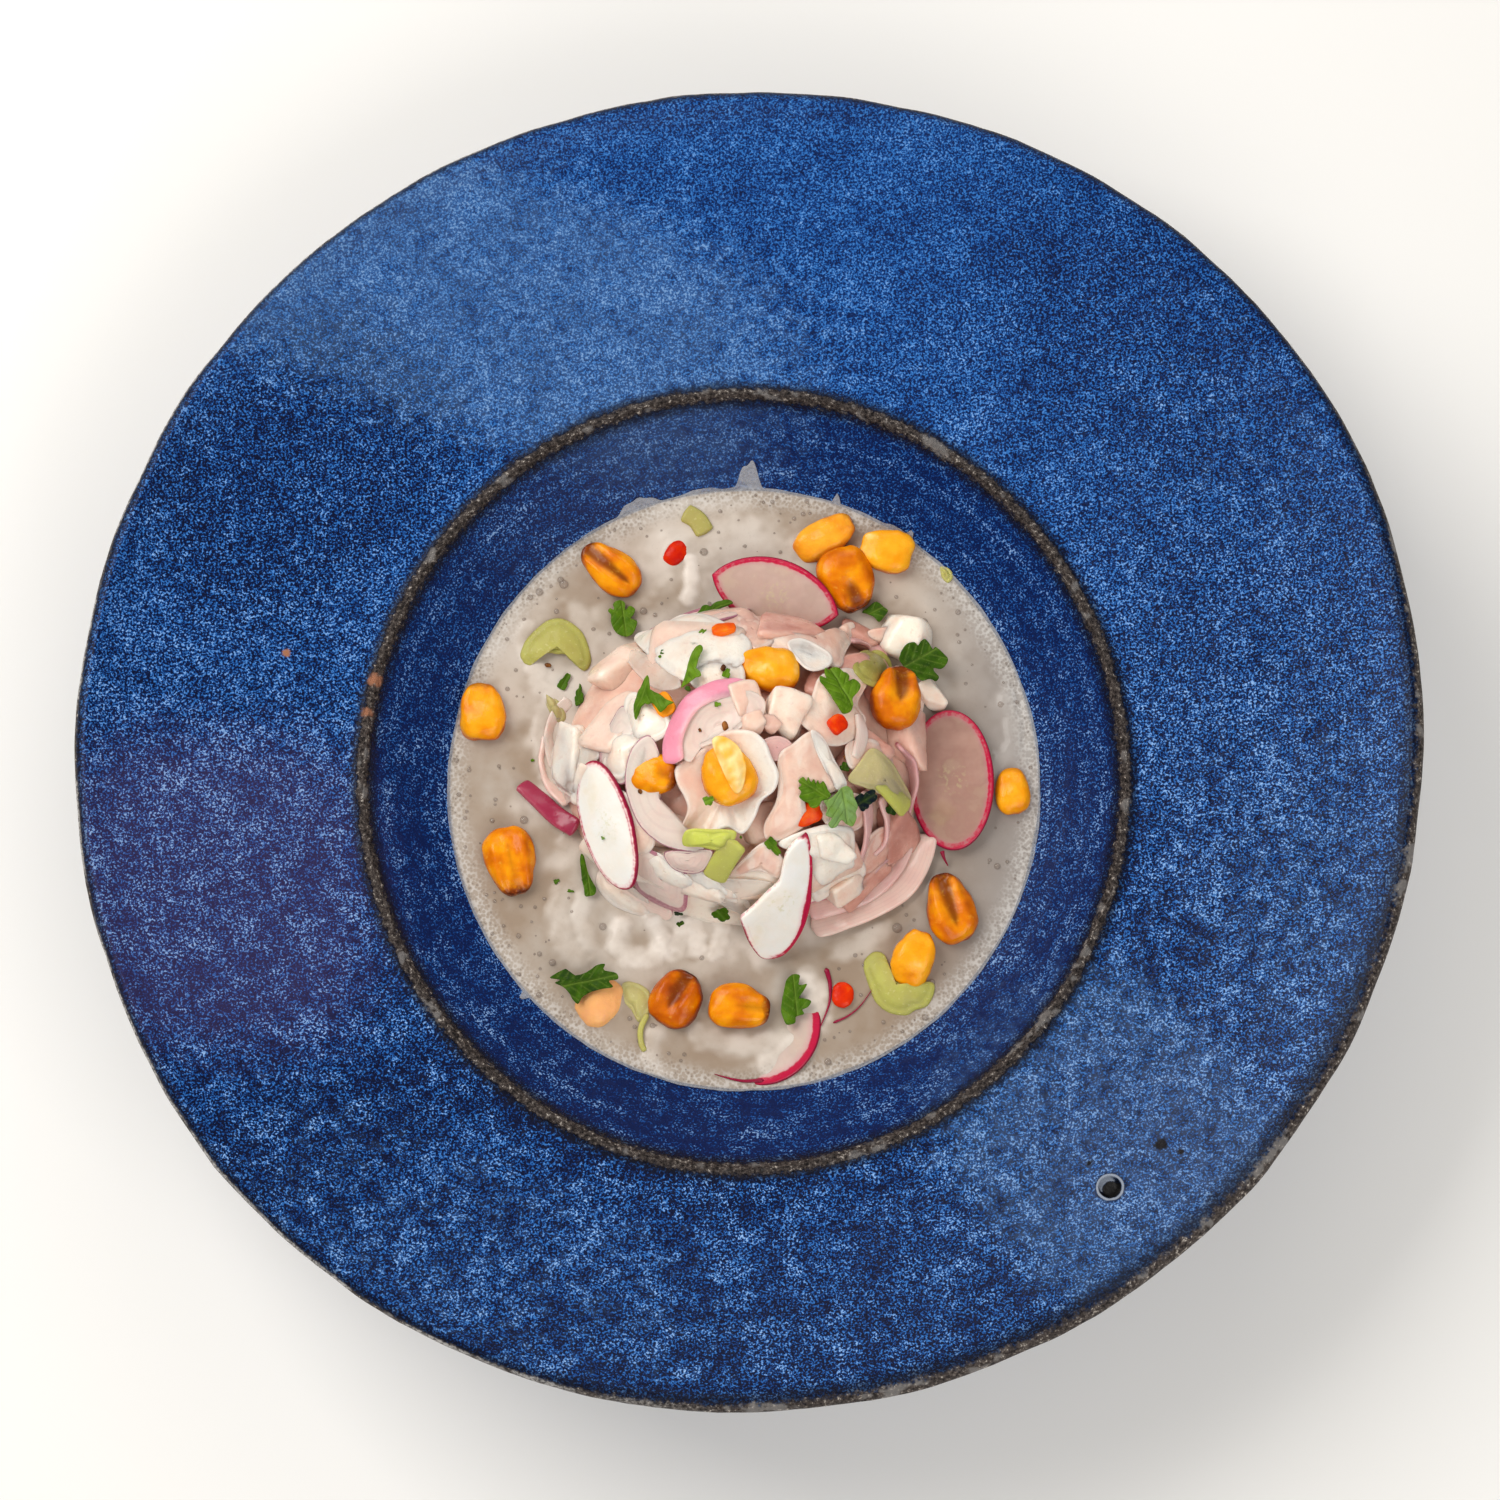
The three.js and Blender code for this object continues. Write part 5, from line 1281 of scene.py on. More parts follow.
# Chunks that fill the heap under its petals: place, heading, size, lift and blush (0 white to 1 pink). The
# blush is partly the fish's own pink and partly painted shade, higher on the heap's right, away from the
# light.
FILLING = (
    ((-13.5, 18.6), -8, (21, 14, 7), -0.5, 0.3), ((9.5, 24.5), 8, (17, 10, 7), -0.5, 0.8),
    ((19, 13), 44, (16, 11, 7), -0.3, 0.8), ((-38, -1.5), 85, (13, 9, 7), -1.1, 0.2),
    ((-28.5, 4.2), 60, (15, 11, 7), -0.7, 0.3), ((7.3, 4.4), 70, (10, 9, 8), -0.1, 0.6),
    ((13.4, -8.6), -56, (20, 12, 6), -0.3, 0.8), ((16, -25), 24, (16, 12, 7), -0.3, 0.5),
    ((-16, -27.6), -16, (19, 9, 6), -1.1, 0.1), ((-30, -24), -52, (14, 9, 6), -1.1, 0.1),
    ((31.5, -18), -70, (14, 9, 6), -1.1, 0.95), ((25, -28.4), 42, (15, 8, 6), -1.1, 0.9),
    ((34, 3), 82, (13, 9, 7), -0.3, 0.6), ((-29, 19), 48, (14, 9, 6), -0.7, 0.3),
    ((-22, -18), -30, (13, 9, 6), -0.5, 0.35), ((-4, 27), 12, (14, 9, 6), -0.7, 0.6),
    ((0, -30), 4, (16, 8, 6), -1.1, 0.1), ((28.5, 14), -70, (12, 9, 6), -0.7, 0.8),
    ((-3, 14), 30, (14, 11, 7), -0.5, 0.5), ((24, -4), 60, (14, 10, 6), -0.7, 0.8),
    ((-22, 0), 80, (13, 9, 6), -0.7, 0.5), ((5, -18), 10, (14, 9, 6), -0.7, 0.45),
)

# Chunks that show on top: frame pixel, heading, size, lift, blush; the blush is partly painted shade, as in
# the filling.
CHUNKS = (
    ((786, 711), 68, (9.4, 8.4, 5.5), 3.9, 0.2), ((750, 706), -75, (9.6, 6, 5), 3.6, 0.4),
    ((754, 724), 20, (6, 4.6, 4), 5.2, 0.4), ((770, 723), -50, (5, 3.4, 3), 4.6, 0.6),
    ((933, 696), -60, (8, 4.6, 4.5), 1, 0.05), ((858, 640), -20, (9, 5, 4.5), 0.6, 0.9),
    ((574, 760), 80, (12, 7.6, 6), 0.6, 0.1), ((592, 786), 60, (9, 6.4, 5), 1, 0.15),
    ((880, 636), 10, (6, 4, 4), 0.2, 0.6), ((846, 884), 30, (9, 5.4, 5), 1.8, 0.15),
    ((832, 846), -30, (9, 6, 4), 4.2, 0), ((905, 716), 80, (8, 4, 4), 1, 0.7),
)

# The chunk that stands in the broth beside the heap: place, heading, size and lift.
LOOSE_CHUNK = ((34.6, 26.4), -12, (13, 10.4, 10), -0.6)

# Petals of fish: outline as (frame pixel u, v, lift) round it, lift of the middle, thickness and blush, which
# is partly the fish's own pink and partly painted shade on the heap's right side. Some have more: cup is the
# power of the rise to the edge, pillow thickens the middle, relief is the height of the waves, the blush
# fades the way named in degrees to the value named, and clear is how much shows through.
PETALS = (
    (((634, 640, 1.8), (658, 627, 2.6), (690, 614, 3.2), (728, 624, 4), (752, 645, 4.8), (737, 668, 5.4),
      (702, 673, 5), (690, 683, 4.6), (662, 668, 3.4)), 4.6, 1.36, 0),
    (((686, 672, 4.6), (712, 660, 5), (740, 662, 5.2), (744, 684, 5.6), (722, 690, 5.8), (700, 692, 5.4)),
      5.4, 1.24, 0.1),
    (((625, 700, 3.2), (634, 692, 3.6), (648, 698, 4.2), (668, 714, 5), (672, 730, 5), (655, 742, 4.8),
      (634, 746, 4), (624, 722, 3.4)), 4.8, 2.11, 0, {"pillow": 1.3}),
    (((611, 735, 3.2), (626, 728, 3.8), (647, 736, 4.6), (636, 752, 4.6), (628, 774, 4.4), (618, 780, 4),
      (604, 771, 3.2), (605, 752, 3)), 4.6, 1.86, 0.12, {"pillow": 1.2}),
    (((676, 766, 4), (698, 752, 5.2), (712, 739, 6.2), (730, 730, 7), (752, 731, 7.4), (765, 741, 7.2),
      (772, 757, 6.6), (779, 774, 6.2), (775, 790, 5.6), (762, 801, 5.8), (755, 818, 5.4), (743, 834, 4.4),
      (728, 828, 5.2), (712, 836, 4.8), (698, 850, 4.2), (682, 853, 3.6), (675, 842, 3.6), (687, 812, 4.2),
      (684, 797, 4.2), (677, 784, 4.2)), 0.9, 1.3, 0.55,
      {"cup": 1.25, "relief": 0.16, "way": -25, "to": -0.2}),
    (((778, 757, 5.2), (792, 744, 5.6), (811, 731, 5.8), (824, 742, 5.4), (835, 764, 5), (846, 784, 4.6),
      (828, 794, 4.8), (806, 798, 4.8), (800, 816, 4.6), (808, 822, 4.4), (790, 837, 4.2), (768, 841, 4),
      (764, 825, 4.4), (777, 797, 5)), 5.4, 1.49, 0.48, {"relief": 0.14}),
    (((811, 730, 6.6), (823, 737, 6.2), (835, 760, 5.8), (847, 784, 5.4), (838, 791, 5.2), (827, 774, 5.8),
      (816, 751, 6.4)), 6.2, 0.99, 0.02),
    (((757, 630, 3), (790, 636, 3.8), (822, 632, 3.6), (850, 622, 2.2), (855, 634, 2.4), (846, 652, 3),
      (838, 668, 3.8), (800, 655, 4.4), (772, 648, 4.2)), 4.2, 1.49, 0.48),
    (((787, 644, 5.4), (800, 638, 5.6), (818, 645, 5.6), (832, 656, 5.4), (829, 667, 5.4), (812, 671, 5.4),
      (799, 663, 5.4)), 4.4, 0.93, 0.1),
    (((798, 718, 4.8), (810, 700, 4.8), (820, 676, 4.6), (845, 668, 3.8), (862, 674, 3.2), (867, 684, 3),
      (858, 704, 3.6), (866, 722, 3.4), (850, 742, 4), (828, 746, 4.6), (812, 734, 5)), 4.8, 1.36,
      0.36),
    (((778, 844, 4.4), (800, 832, 4.8), (828, 824, 4.6), (852, 828, 4), (856, 848, 3.8), (866, 869, 3),
      (860, 880, 2.6), (840, 888, 2.4), (816, 902, 1.8), (808, 880, 3.2), (804, 858, 4)), 4.6, 1.86, 0.02,
      {"pillow": 1.2, "relief": 0.3}),
    (((868, 838, 2.6), (886, 826, 2.8), (904, 838, 2.2), (913, 850, 1.6), (902, 868, 1.6), (888, 882, 1.6),
      (868, 888, 1.6), (860, 868, 2.4)), 2.8, 1.24, 0.8),
    (((638, 852, 2.6), (652, 850, 3.2), (672, 862, 3.8), (692, 880, 3.2), (688, 894, 2.4), (668, 890, 2.2),
      (650, 878, 2.2)), 3.6, 1.12, 0.04, {"relief": 0.3}),
    (((690, 868, 3.6), (716, 878, 3.4), (742, 893, 2.4), (750, 908, 1.4), (726, 903, 1.6), (700, 894, 2.4)),
      3.2, 0.93, -0.1, {"relief": 0.3}),
    (((700, 876, 2.8), (728, 878, 3.4), (770, 882, 3), (772, 892, 2.4), (752, 903, 1.6), (745, 915, 0.8),
      (722, 905, 1.2), (698, 892, 2)), 2.6, 0.8, 0, {"clear": 0.4}),
    (((730, 876, 3.8), (747, 855, 4.2), (766, 842, 4.4), (784, 860, 4.2), (780, 878, 3.6), (758, 871, 4)),
      4.2, 0.99, 0.5),
    (((621, 647, 1.4), (645, 653, 2.2), (668, 662, 3.4), (681, 686, 4.4), (658, 690, 3.4), (640, 677, 2.2),
      (628, 662, 1.4)), 2.4, 0.8, 0.08, {"clear": 0.55}),
    (((604, 862, 0.9), (622, 880, 1.6), (648, 900, 1.4), (645, 916, 0.4), (614, 906, 0.3), (596, 884, 0.3)),
      1.4, 1.12, 0.2, {"clear": 0.2}),
    (((554, 745, 0.5), (570, 736, 1), (592, 740, 2), (600, 756, 2.4), (588, 770, 2), (580, 794, 1.6),
      (564, 804, 0.6), (552, 784, 0.4)), 1.8, 0.99, 0.08, {"relief": 0.35, "clear": 0.25}),
    (((893, 668, 1.2), (912, 676, 1.2), (924, 700, 1), (918, 722, 1), (904, 738, 1.6), (892, 712, 2.4)),
      2, 1.24, 0.64),
    (((846, 745, 4.2), (868, 738, 3.6), (888, 750, 2.8), (894, 776, 2.2), (872, 772, 3.2), (850, 768, 4)),
      3.6, 1.12, 0.64),
    (((820, 800, 4.4), (846, 792, 4.2), (866, 800, 3.4), (862, 826, 3.4), (842, 832, 3.8), (824, 822, 4.4)),
      4.2, 1.12, 0.6),
    (((598, 806, 3.4), (622, 790, 4.2), (640, 815, 4.2), (655, 842, 4), (640, 858, 3.2), (618, 850, 2.6),
      (600, 832, 2.6)), 3.8, 1.24, 0.28),
    (((732, 612, 1.6), (760, 618, 2.4), (775, 640, 4), (756, 650, 4.6), (738, 636, 3.6)), 3.2, 1.12,
      0.68),
)


# How far the core lies under the ground that pieces rest on, and how deep it ends under the broth's level.
CORE_SINK, CORE_END = 1.4, 6.0


def make_core(settings):
    """The heap's core: the dome under everything, with low folds, paler in front, closed in the broth.

    Rows run out from the summit as shares of the oval's reach, then down into the broth.
    """
    share = np.concatenate([np.linspace(0, 0.97, 60)[1:] ** 0.9, [0.985, 1.0, 1.0, 0.97]])[:, None]
    angle = np.linspace(0, TAU, 160, endpoint=False)[None]
    x = HEAP_MIDDLE[0] + HEAP_REACH[0] * share * np.cos(angle)
    y = HEAP_MIDDLE[1] + HEAP_REACH[1] * share * np.sin(angle)
    z = ground(x, y)
    relief = 0.45 * ripple(stack(x, y, z), 9.0, 21, 2)
    z = z - CORE_SINK + relief * smooth(1.0, 0.9, share)
    z[-2:] = BROTH_LEVEL - np.array([[1.0], [CORE_END]])
    summit = [*HEAP_MIDDLE, float(ground(*HEAP_MIDDLE)) - CORE_SINK]
    batch = Batch()
    points = shell(stack(x, y, z), summit, [*HEAP_MIDDLE, BROTH_LEVEL - CORE_END])
    front = smooth(0.2, 0.7, -np.sin(angle)) * smooth(0.75, 0.9, share)
    blush = with_ends(0.55 - 0.6 * front, 0.55, 0.55)
    batch.add(points, shell_faces(len(share), angle.size), blush=blush, flake=0.0, inset=9.0)
    return batch.piece("heap_core", fish_flesh(settings), "fish", "heap")


# Rows and columns of points on a chunk of fish that shows and on one that fills the heap.
CHUNK_GRID, FILLING_GRID = (40, 48), (22, 28)


# How sharp the edges of a cut chunk are.
SHARP = 13.0


def fish_chunk(size, seed, grid):
    """A cut chunk of raw fish: a box with a few seeded bevels, its edges softened, with soft flakes.

    The reach of a direction is what is left of the sum of (n·direction / d)^SHARP over the planes, to the
    power -1/SHARP. The flakes are a rounded saw of the distance along a slanted way through the block.
    """
    draw = np.random.default_rng(seed)
    box = np.vstack([np.eye(3), -np.eye(3)]) + draw.normal(0, 0.13, (6, 3))
    bevels = draw.normal(size=(5, 3))
    planes = np.vstack([unit(box), unit(bevels) / draw.uniform(0.86, 1.02, (5, 1))])
    way = ball(*grid)
    reach = (np.clip(way @ planes.T, 0, None) ** SHARP).sum(-1) ** (-1 / SHARP)
    points = way * reach[:, None] * np.array(size) / 2
    out = unit(way / np.array(size))
    slant = unit(draw.normal(size=3) * np.array([1.0, 0.5, 0.3]))
    along = points @ slant + 0.5 * ripple(points, 9.0, seed + 1, 2)
    saw = (along / 2.6 + draw.uniform()) % 1
    flake = saw**2 * (1 - smooth(0.8, 1.0, saw))
    dent = 0.035 * min(size) * ripple(points, max(size) * 0.8, seed + 2, 2)
    return points + out * (0.05 * flake + dent)[:, None], flake


def make_fish(settings):
    """The chunks of fish that fill the heap, those that show on it, and the one that stands in the broth."""
    batch = Batch()
    chunks = [(400 + i, *row, 1.0, FILLING_GRID) for i, row in enumerate(FILLING)]
    for i, (pixel, heading, size, lift, blush) in enumerate(CHUNKS, 400 + len(FILLING)):
        chunks.append((i, spot(*pixel, lift)[:2], heading, size, lift, blush, 1.0, CHUNK_GRID))
    chunks.append((443, *LOOSE_CHUNK, 0.0, 0, CHUNK_GRID))
    for seed, at, heading, size, lift, blush, lean, grid in chunks:
        points, flake = fish_chunk(size, seed, grid)
        place = laid(points, at, heading, lift=lift, lean=lean)
        batch.add(place, shell_faces(*grid), blush=blush, flake=flake, inset=9.0)
    return batch.piece("fish_chunks", fish_flesh(settings), "fish", "heap", "fish_1")


def make_petals(settings):
    """Petals of fish: sheets draped over the heap, their blush fading across from one side to the other.

    The clear ones are films, joined as a piece of their own.
    """
    petals, films = Batch(), Batch()
    for i, (line, middle, thick, start, *more) in enumerate(PETALS):
        more = more[0] if more else {}
        shape = {key: more[key] for key in ("cup", "pillow", "relief") if key in more}
        points, inset, _, faces = sheet(line, 500 + 3 * i, middle, thick, rings=16, **shape)
        grain = 0.5 + 0.5 * ripple(points * np.array([1.0, 0.35, 1.0]), 3.0, 540 + i, 2)
        way = math.radians(more.get("way", 0))
        along = (points[:, :2] - points[:, :2].mean(0)) @ [math.cos(way), math.sin(way)]
        blush = start + (more.get("to", start) - start) * smooth(-0.7, 0.7, along / np.abs(along).max())
        values = {"blush": blush, "flake": grain, "inset": inset}
        if "clear" in more:
            films.add(points, faces, clear=more["clear"], **values)
        else:
            petals.add(points, faces, **values)
    films.piece("fish_films", fish_flesh(settings, clear=True), "fish", "heap")
    return petals.piece("fish_petals", fish_flesh(settings), "fish", "heap")


def fish_flesh(settings, clear=False):
    """Raw fish cured white: white to pink by blush, partly painted shade, cloudier in its flakes, lighter at
    thin edges.

    Films of it let some light through by the value clear.
    """
    paint = Finish(
        "cured_fish", IOR=1.38, Subsurface_Weight=0.6, Subsurface_Scale=0.0025,
        Subsurface_Radius=(1.0, 0.85, 0.75), Coat_Weight=0.3, Coat_Roughness=0.16,
    )
    cloud, vein, speck = paint.noise(5.0), paint.noise(1.8, 4.0, rough=0.6), paint.noise(0.45, 2.0)
    # The blush is partly painted shade: the ramp's pink and mauve stand for shade on the heap's right side.
    heat = paint.plus(paint.value("blush"), paint.swing(cloud, 0.8))
    body = paint.ramp(
        heat, (0.0, "fcecdc"), (0.25, settings.fish), (0.55, "e8beab"), (0.8, "d9a392"), (1.0, "c28677")
    )
    body = paint.mix(paint.times(paint.step(paint.value("flake"), 0.45, 0.95), 0.3), body, "fbeee2")
    body = paint.mix(paint.times(paint.step(vein, 0.56, 0.7), 0.25), body, "dba898")
    body = paint.mix(paint.times(paint.step(paint.value("inset"), 0.8, 0.1), 0.3), body, "fdf0e2")
    relief = paint.bump(paint.plus(vein, paint.times(speck, 0.2)), 0.14)
    if clear:
        paint.feed(Alpha=paint.less(1.0, paint.value("clear")))
    return paint.feed(Base_Color=body, Roughness=paint.step(cloud, 0.3, 0.75, 0.26, 0.42), Normal=relief)


# Slices of onion that lie flat: outline, lift of the middle and thickness as the petals, width of the purple
# skin at the edge, tone, and cup.
SLICES = (
    (((625, 706, 2.8), (611, 722, 2.6), (601, 746, 2.4), (600, 766, 2.4), (607, 779, 2.6), (624, 784, 3.4),
      (642, 766, 4.2), (646, 735, 4.4)), 3.6, 0.75, 0.35, 0.08, 2),
    (((648, 735, 5), (632, 748, 4.8), (625, 775, 4.6), (628, 799, 4.6), (640, 826, 4.6), (661, 844, 4.8),
      (684, 851, 4.8), (706, 851, 4.6), (692, 838, 3.4), (678, 824, 2.2), (664, 806, 1.8), (659, 786, 1.4),
      (661, 765, 2.2), (658, 748, 4.2)), 3.4, 0.8, 0.35, 0.08, 2),
    (((679, 752, 5), (681, 728, 5.8), (694, 706, 6.2), (716, 694, 6.4), (746, 690, 6), (764, 699, 5.6),
      (763, 716, 5.2), (746, 734, 5), (722, 740, 5), (702, 748, 4.8), (690, 762, 4.6)), 4.6, 0.83, 0,
      0.15, 1.4),
    (((645, 635, 1.4), (672, 619, 1.6), (704, 607, 1.6), (744, 600, 1.4), (748, 612, 2), (718, 622, 3.2),
      (680, 634, 2.8)), 2.2, 0.75, 0.5, 0.25, 2),
    (((665, 852, 4.2), (690, 850, 4.8), (713, 851, 4.8), (703, 871, 4.4), (684, 873, 4), (670, 866, 4)),
      4.6, 0.9, 0.25, 0.22, 2),
    (((634, 846, 2.6), (656, 852, 3), (686, 872, 3), (688, 896, 2), (682, 912, 1.2), (652, 902, 1),
      (634, 884, 1.2)), 2.6, 0.9, 0.6, 0.12, 2),
    (((762, 742, 3.6), (778, 736, 4.2), (792, 744, 4.6), (784, 758, 4.6), (770, 760, 4.2)), 4, 0.9, 0,
      0.6, 2),
)

# How far the slices are raised off the petals.
SLICE_RAISE = 0.6

# Onion strips: frame pixels along them, each with a lift; width, thickness, tilt out of the ground in
# degrees, width of the skin along the left edge, and tone (0 pale pink, 1 deep magenta).
ONION = (
    (((674, 764, 5.4), (673, 742, 5.9), (680, 721, 6.4), (693, 702, 6.7), (714, 691, 6.8), (733, 688, 6.5),
      (750, 694, 6)), 4.8, 0.9, 8, 4.6, 0.45),
    (((521, 783, 0.5), (538, 799, 1), (556, 815, 1.5), (577, 829, 1.6)), 4.4, 1.6, 25, 5, 1),
    (((811, 927, 1), (846, 917, 1.1), (880, 902, 1.2), (904, 885, 1.2), (919, 860, 1.2), (926, 834, 1.2)),
      5.8, 1.6, 16, 0.5, 0.3),
    (((808, 912, 2), (840, 904, 2.2), (872, 890, 2.2), (894, 868, 2.2), (906, 842, 2)), 4.2, 1.4, 45,
      0.4, 0.5),
    (((862, 792, 3.6), (868, 812, 3.4), (867, 838, 3), (859, 866, 2.6)), 4, 1.2, 30, 0.4, 0.6),
    (((882, 795, 2.8), (887, 818, 2.6), (884, 842, 2.6), (874, 856, 2.4)), 4.2, 1.2, 35, 0.4, 0.6),
    (((897, 745, 2.8), (910, 760, 2.4), (914, 786, 2.2), (908, 815, 1.8), (912, 838, 1.4)), 4, 1.2, 50,
      0.6, 0.8),
    (((546, 735, 0), (542, 762, 0), (550, 786, 0.1), (568, 804, 0.2)), 2.6, 1.2, 60, 0.5, 0.3),
    (((858, 714, 4.6), (862, 735, 4.4), (856, 760, 3.8)), 3.4, 1.4, 30, 0, 0.1),
    (((596, 744, 2.6), (576, 748, 1.8), (566, 764, 1.4), (568, 784, 1.4), (584, 798, 1.8)), 3.6, 1.5, 30,
      0, 0),
    (((570, 700, 0.2), (556, 716, 0.1), (549, 740, 0.1), (556, 768, 0.2)), 3, 1, 45, 0.3, 0.1),
    (((906, 836, 1.8), (898, 852, 1.8), (880, 864, 2.2), (866, 884, 2.4)), 3.4, 1.2, 40, 0.4, 0.8),
    (((600, 852, 0.9), (614, 878, 1), (640, 900, 1.2), (672, 916, 1)), 3.6, 1.2, 20, 0.4, 0.2),
    (((846, 640, 1.8), (868, 644, 1.6), (886, 658, 1.4)), 4.6, 1.2, 25, 0.3, 0.7),
    (((700, 745, 5.2), (722, 736, 5.4), (744, 722, 5.4)), 3, 1, 40, 0, 0.1),
)


def make_onion():
    """Onion: slices as sheets over the heap, and strips on smooth paths, tilted out of the ground."""
    batch = Batch()
    for i, (line, middle, thick, rind, tone, cup) in enumerate(SLICES):
        line = [(u, v, lift + SLICE_RAISE) for u, v, lift in line]
        middle += SLICE_RAISE
        points, inset, share, faces = sheet(line, 620 + 3 * i, middle, thick, cup, relief=0.1)
        batch.add(points, faces, inset=inset, share=share, rind=rind, tone=tone)
    for i, (path, wide, thick, tilt, rind, tone) in enumerate(ONION):
        path = curve([spot(u, v, lift) for u, v, lift in path], 64)
        up = ground_up(path[:, 0], path[:, 1])
        left = np.cross(up, unit(np.gradient(path, axis=0)))
        tilt = math.radians(tilt) + 0.2 * np.sin(np.linspace(0, 5, 64) + i)[:, None]
        across = left * np.cos(tilt) - up * np.sin(tilt)
        points, share, faces = strip(path, across, wide, thick, 24, nose=0.1, square=0.6)
        points += 0.2 * ripple(points, 8.0, 600 + i, 2)[:, None] * np.array([0.4, 0.4, 1.0])
        batch.add(points, faces, inset=(1 - share) * wide / 2, share=share, rind=rind, tone=tone)
    return batch.piece("onion_strips", onion_flesh(), "onion", "heap", *numbered("onion", 3, 1))


def onion_flesh():
    """Cut red onion: wet, half clear, pale pink flesh with fine veins, and magenta skin along an edge."""
    paint = Finish(
        "red_onion", IOR=1.38, Subsurface_Weight=0.45, Subsurface_Scale=0.002,
        Subsurface_Radius=(1.0, 0.6, 0.65), Coat_Weight=0.25, Coat_Roughness=0.15,
    )
    inset, share, rind, tone = (paint.value(name) for name in ("inset", "share", "rind", "tone"))
    cloud, speck = paint.noise(5.0), paint.noise(0.8)
    heat = paint.plus(tone, paint.swing(cloud, 0.4))
    flesh = paint.ramp(heat, (0.0, "f7e2d6"), (0.3, "efcdc0"), (0.6, "dcaea8"), (1.0, "bd8488"))
    veins = paint.math("SINE", paint.times(share, 22.0))
    flesh = paint.mix(paint.times(paint.step(veins, 0.3, 1.0), 0.1), flesh, "b98a90")
    depth = paint.plus(inset, paint.swing(speck, 0.3))
    past = paint.math("DIVIDE", paint.less(depth, rind), paint.plus(paint.times(rind, 0.6), 0.1))
    edge = paint.times(paint.step(past, 0.5, -0.5), paint.step(rind, 0.05, 0.2))
    bright = paint.ramp(
        tone, (0.0, "b8808c"), (0.3, "98586c"), (0.42, "f096aa"), (0.5, "e489a4"), (0.7, "96405c"),
        (1.0, "a02c4c")
    )
    colour = paint.mix(edge, flesh, bright)
    seen = paint.math("ADD", paint.step(tone, 0.0, 0.5, 0.82, 1.0), edge, clamp=True)
    return paint.feed(
        Base_Color=colour, Alpha=seen, Roughness=paint.step(cloud, 0.3, 0.7, 0.18, 0.34),
        Normal=paint.bump(speck, 0.06)
    )


# ---------------- the broth

# Pieces sunk just under the broth: frame pixels along them, half width, how far they rise and how pale they
# are.
SUNK = (
    (((622, 925), (618, 945), (632, 958), (652, 956), (662, 942), (655, 925)), 2.4, 1, 0.8),
    (((648, 915), (665, 908), (682, 920), (680, 940), (668, 950)), 2.4, 0.9, 0.75),
    (((697, 905), (693, 925), (698, 948)), 2.6, 1, 0.8),
    (((716, 912), (722, 932), (716, 950)), 2.4, 0.8, 0.7),
    (((563, 890), (558, 915), (566, 945), (580, 960)), 2.6, 0.6, 0.35),
    (((583, 895), (580, 920), (590, 945)), 2.2, 0.6, 0.4),
    (((1005, 700), (1014, 725), (1012, 750), (1000, 770)), 3, 0.8, 0.5),
    (((1024, 690), (1030, 730), (1024, 765)), 1.2, 0.3, 0.35),
    (((690, 560), (692, 580), (688, 600)), 1.8, 0.6, 0.9),
    (((548, 700), (542, 725), (546, 760), (556, 790)), 2.2, 0.5, 0.4),
    (((532, 665), (545, 690), (570, 700)), 2.4, 0.5, 0.5),
    (((655, 1035), (650, 1055), (660, 1075)), 2.2, 0.6, 0.4),
    (((528, 625), (520, 640), (524, 655)), 1.8, 0.4, 0.5),
    (((735, 935), (752, 940), (762, 955)), 3, 0.6, 0.5),
    (((600, 960), (640, 975), (690, 972), (720, 958)), 2.6, 0.4, 0.3),
    (((806, 985), (812, 1010), (800, 1040), (770, 1062)), 3.4, 0.3, 0.7),
    (((840, 950), (860, 946), (880, 930)), 2.4, 0.4, 0.4), (((672, 540), (690, 548)), 2.4, 0.4, 0.5),
    (((560, 780), (572, 810), (566, 840)), 2.4, 0.4, 0.3),
    (((700, 1035), (740, 1045), (790, 1040)), 2.6, 0.4, 0.45), (((905, 585), (925, 600)), 2.6, 0.3, 0.3),
    (((955, 655), (975, 690)), 3.4, 0.3, 0.2), (((600, 640), (585, 625), (575, 610)), 2, 0.3, 0.3),
    (((640, 560), (700, 530), (760, 560), (800, 590)), 9, 0.05, 0.5),
    (((520, 700), (505, 640), (530, 600)), 6, 0.05, 0.3),
    (((880, 570), (930, 610), (960, 640)), 6, 0.05, 0.3),
)

# Tongues of froth left on the wall: frame pixel, height up the wall and half width, in degrees.
TONGUES = (
    (748, 470, 2.7, 1.8), (756, 470, 0.9, 1.2), (622, 495, 0.9, 2.4), (640, 490, 0.7, 2),
    (844, 487, 1.2, 0.5), (925, 522, 1, 0.7), (910, 516, 0.4, 2.2), (512, 1000, 1, 0.6),
    (700, 478, 0.3, 3),
)


def broth_places():
    """Ovals that stand in the broth, which creeps up them: place, half length, half width, heading."""
    low = [row for row in CORN if row[4] < 2 or row[0][1] > 35]
    ovals = [(at, long * 0.44, wide * 0.44, heading) for at, heading, long, wide, *_ in low]
    return ovals + [(chip[0], 2.7, 2.1, chip[1]) for chip in (CHILLI[0], CHILLI[5])]


def slow_waves(places):
    """The broth's slow waves, 0.1 mm high."""
    return 0.10 * ripple(places[..., :2], 26.0, 32, 3)


def oval_distance(x, y, at, long, wide, heading):
    """Distance out from an oval, taken as its mean radius times the share past its outline."""
    u, v = along_heading(x, y, at, heading)
    return (np.hypot(u / long, v / wide) - 1) * min(long, wide)


def line_distance(x, y, line):
    """Distance from the nearest point of a line of points."""
    near = np.full(x.shape, 99.0)
    for px, py in line:
        near = np.minimum(near, np.hypot(x - px, y - py))
    return near


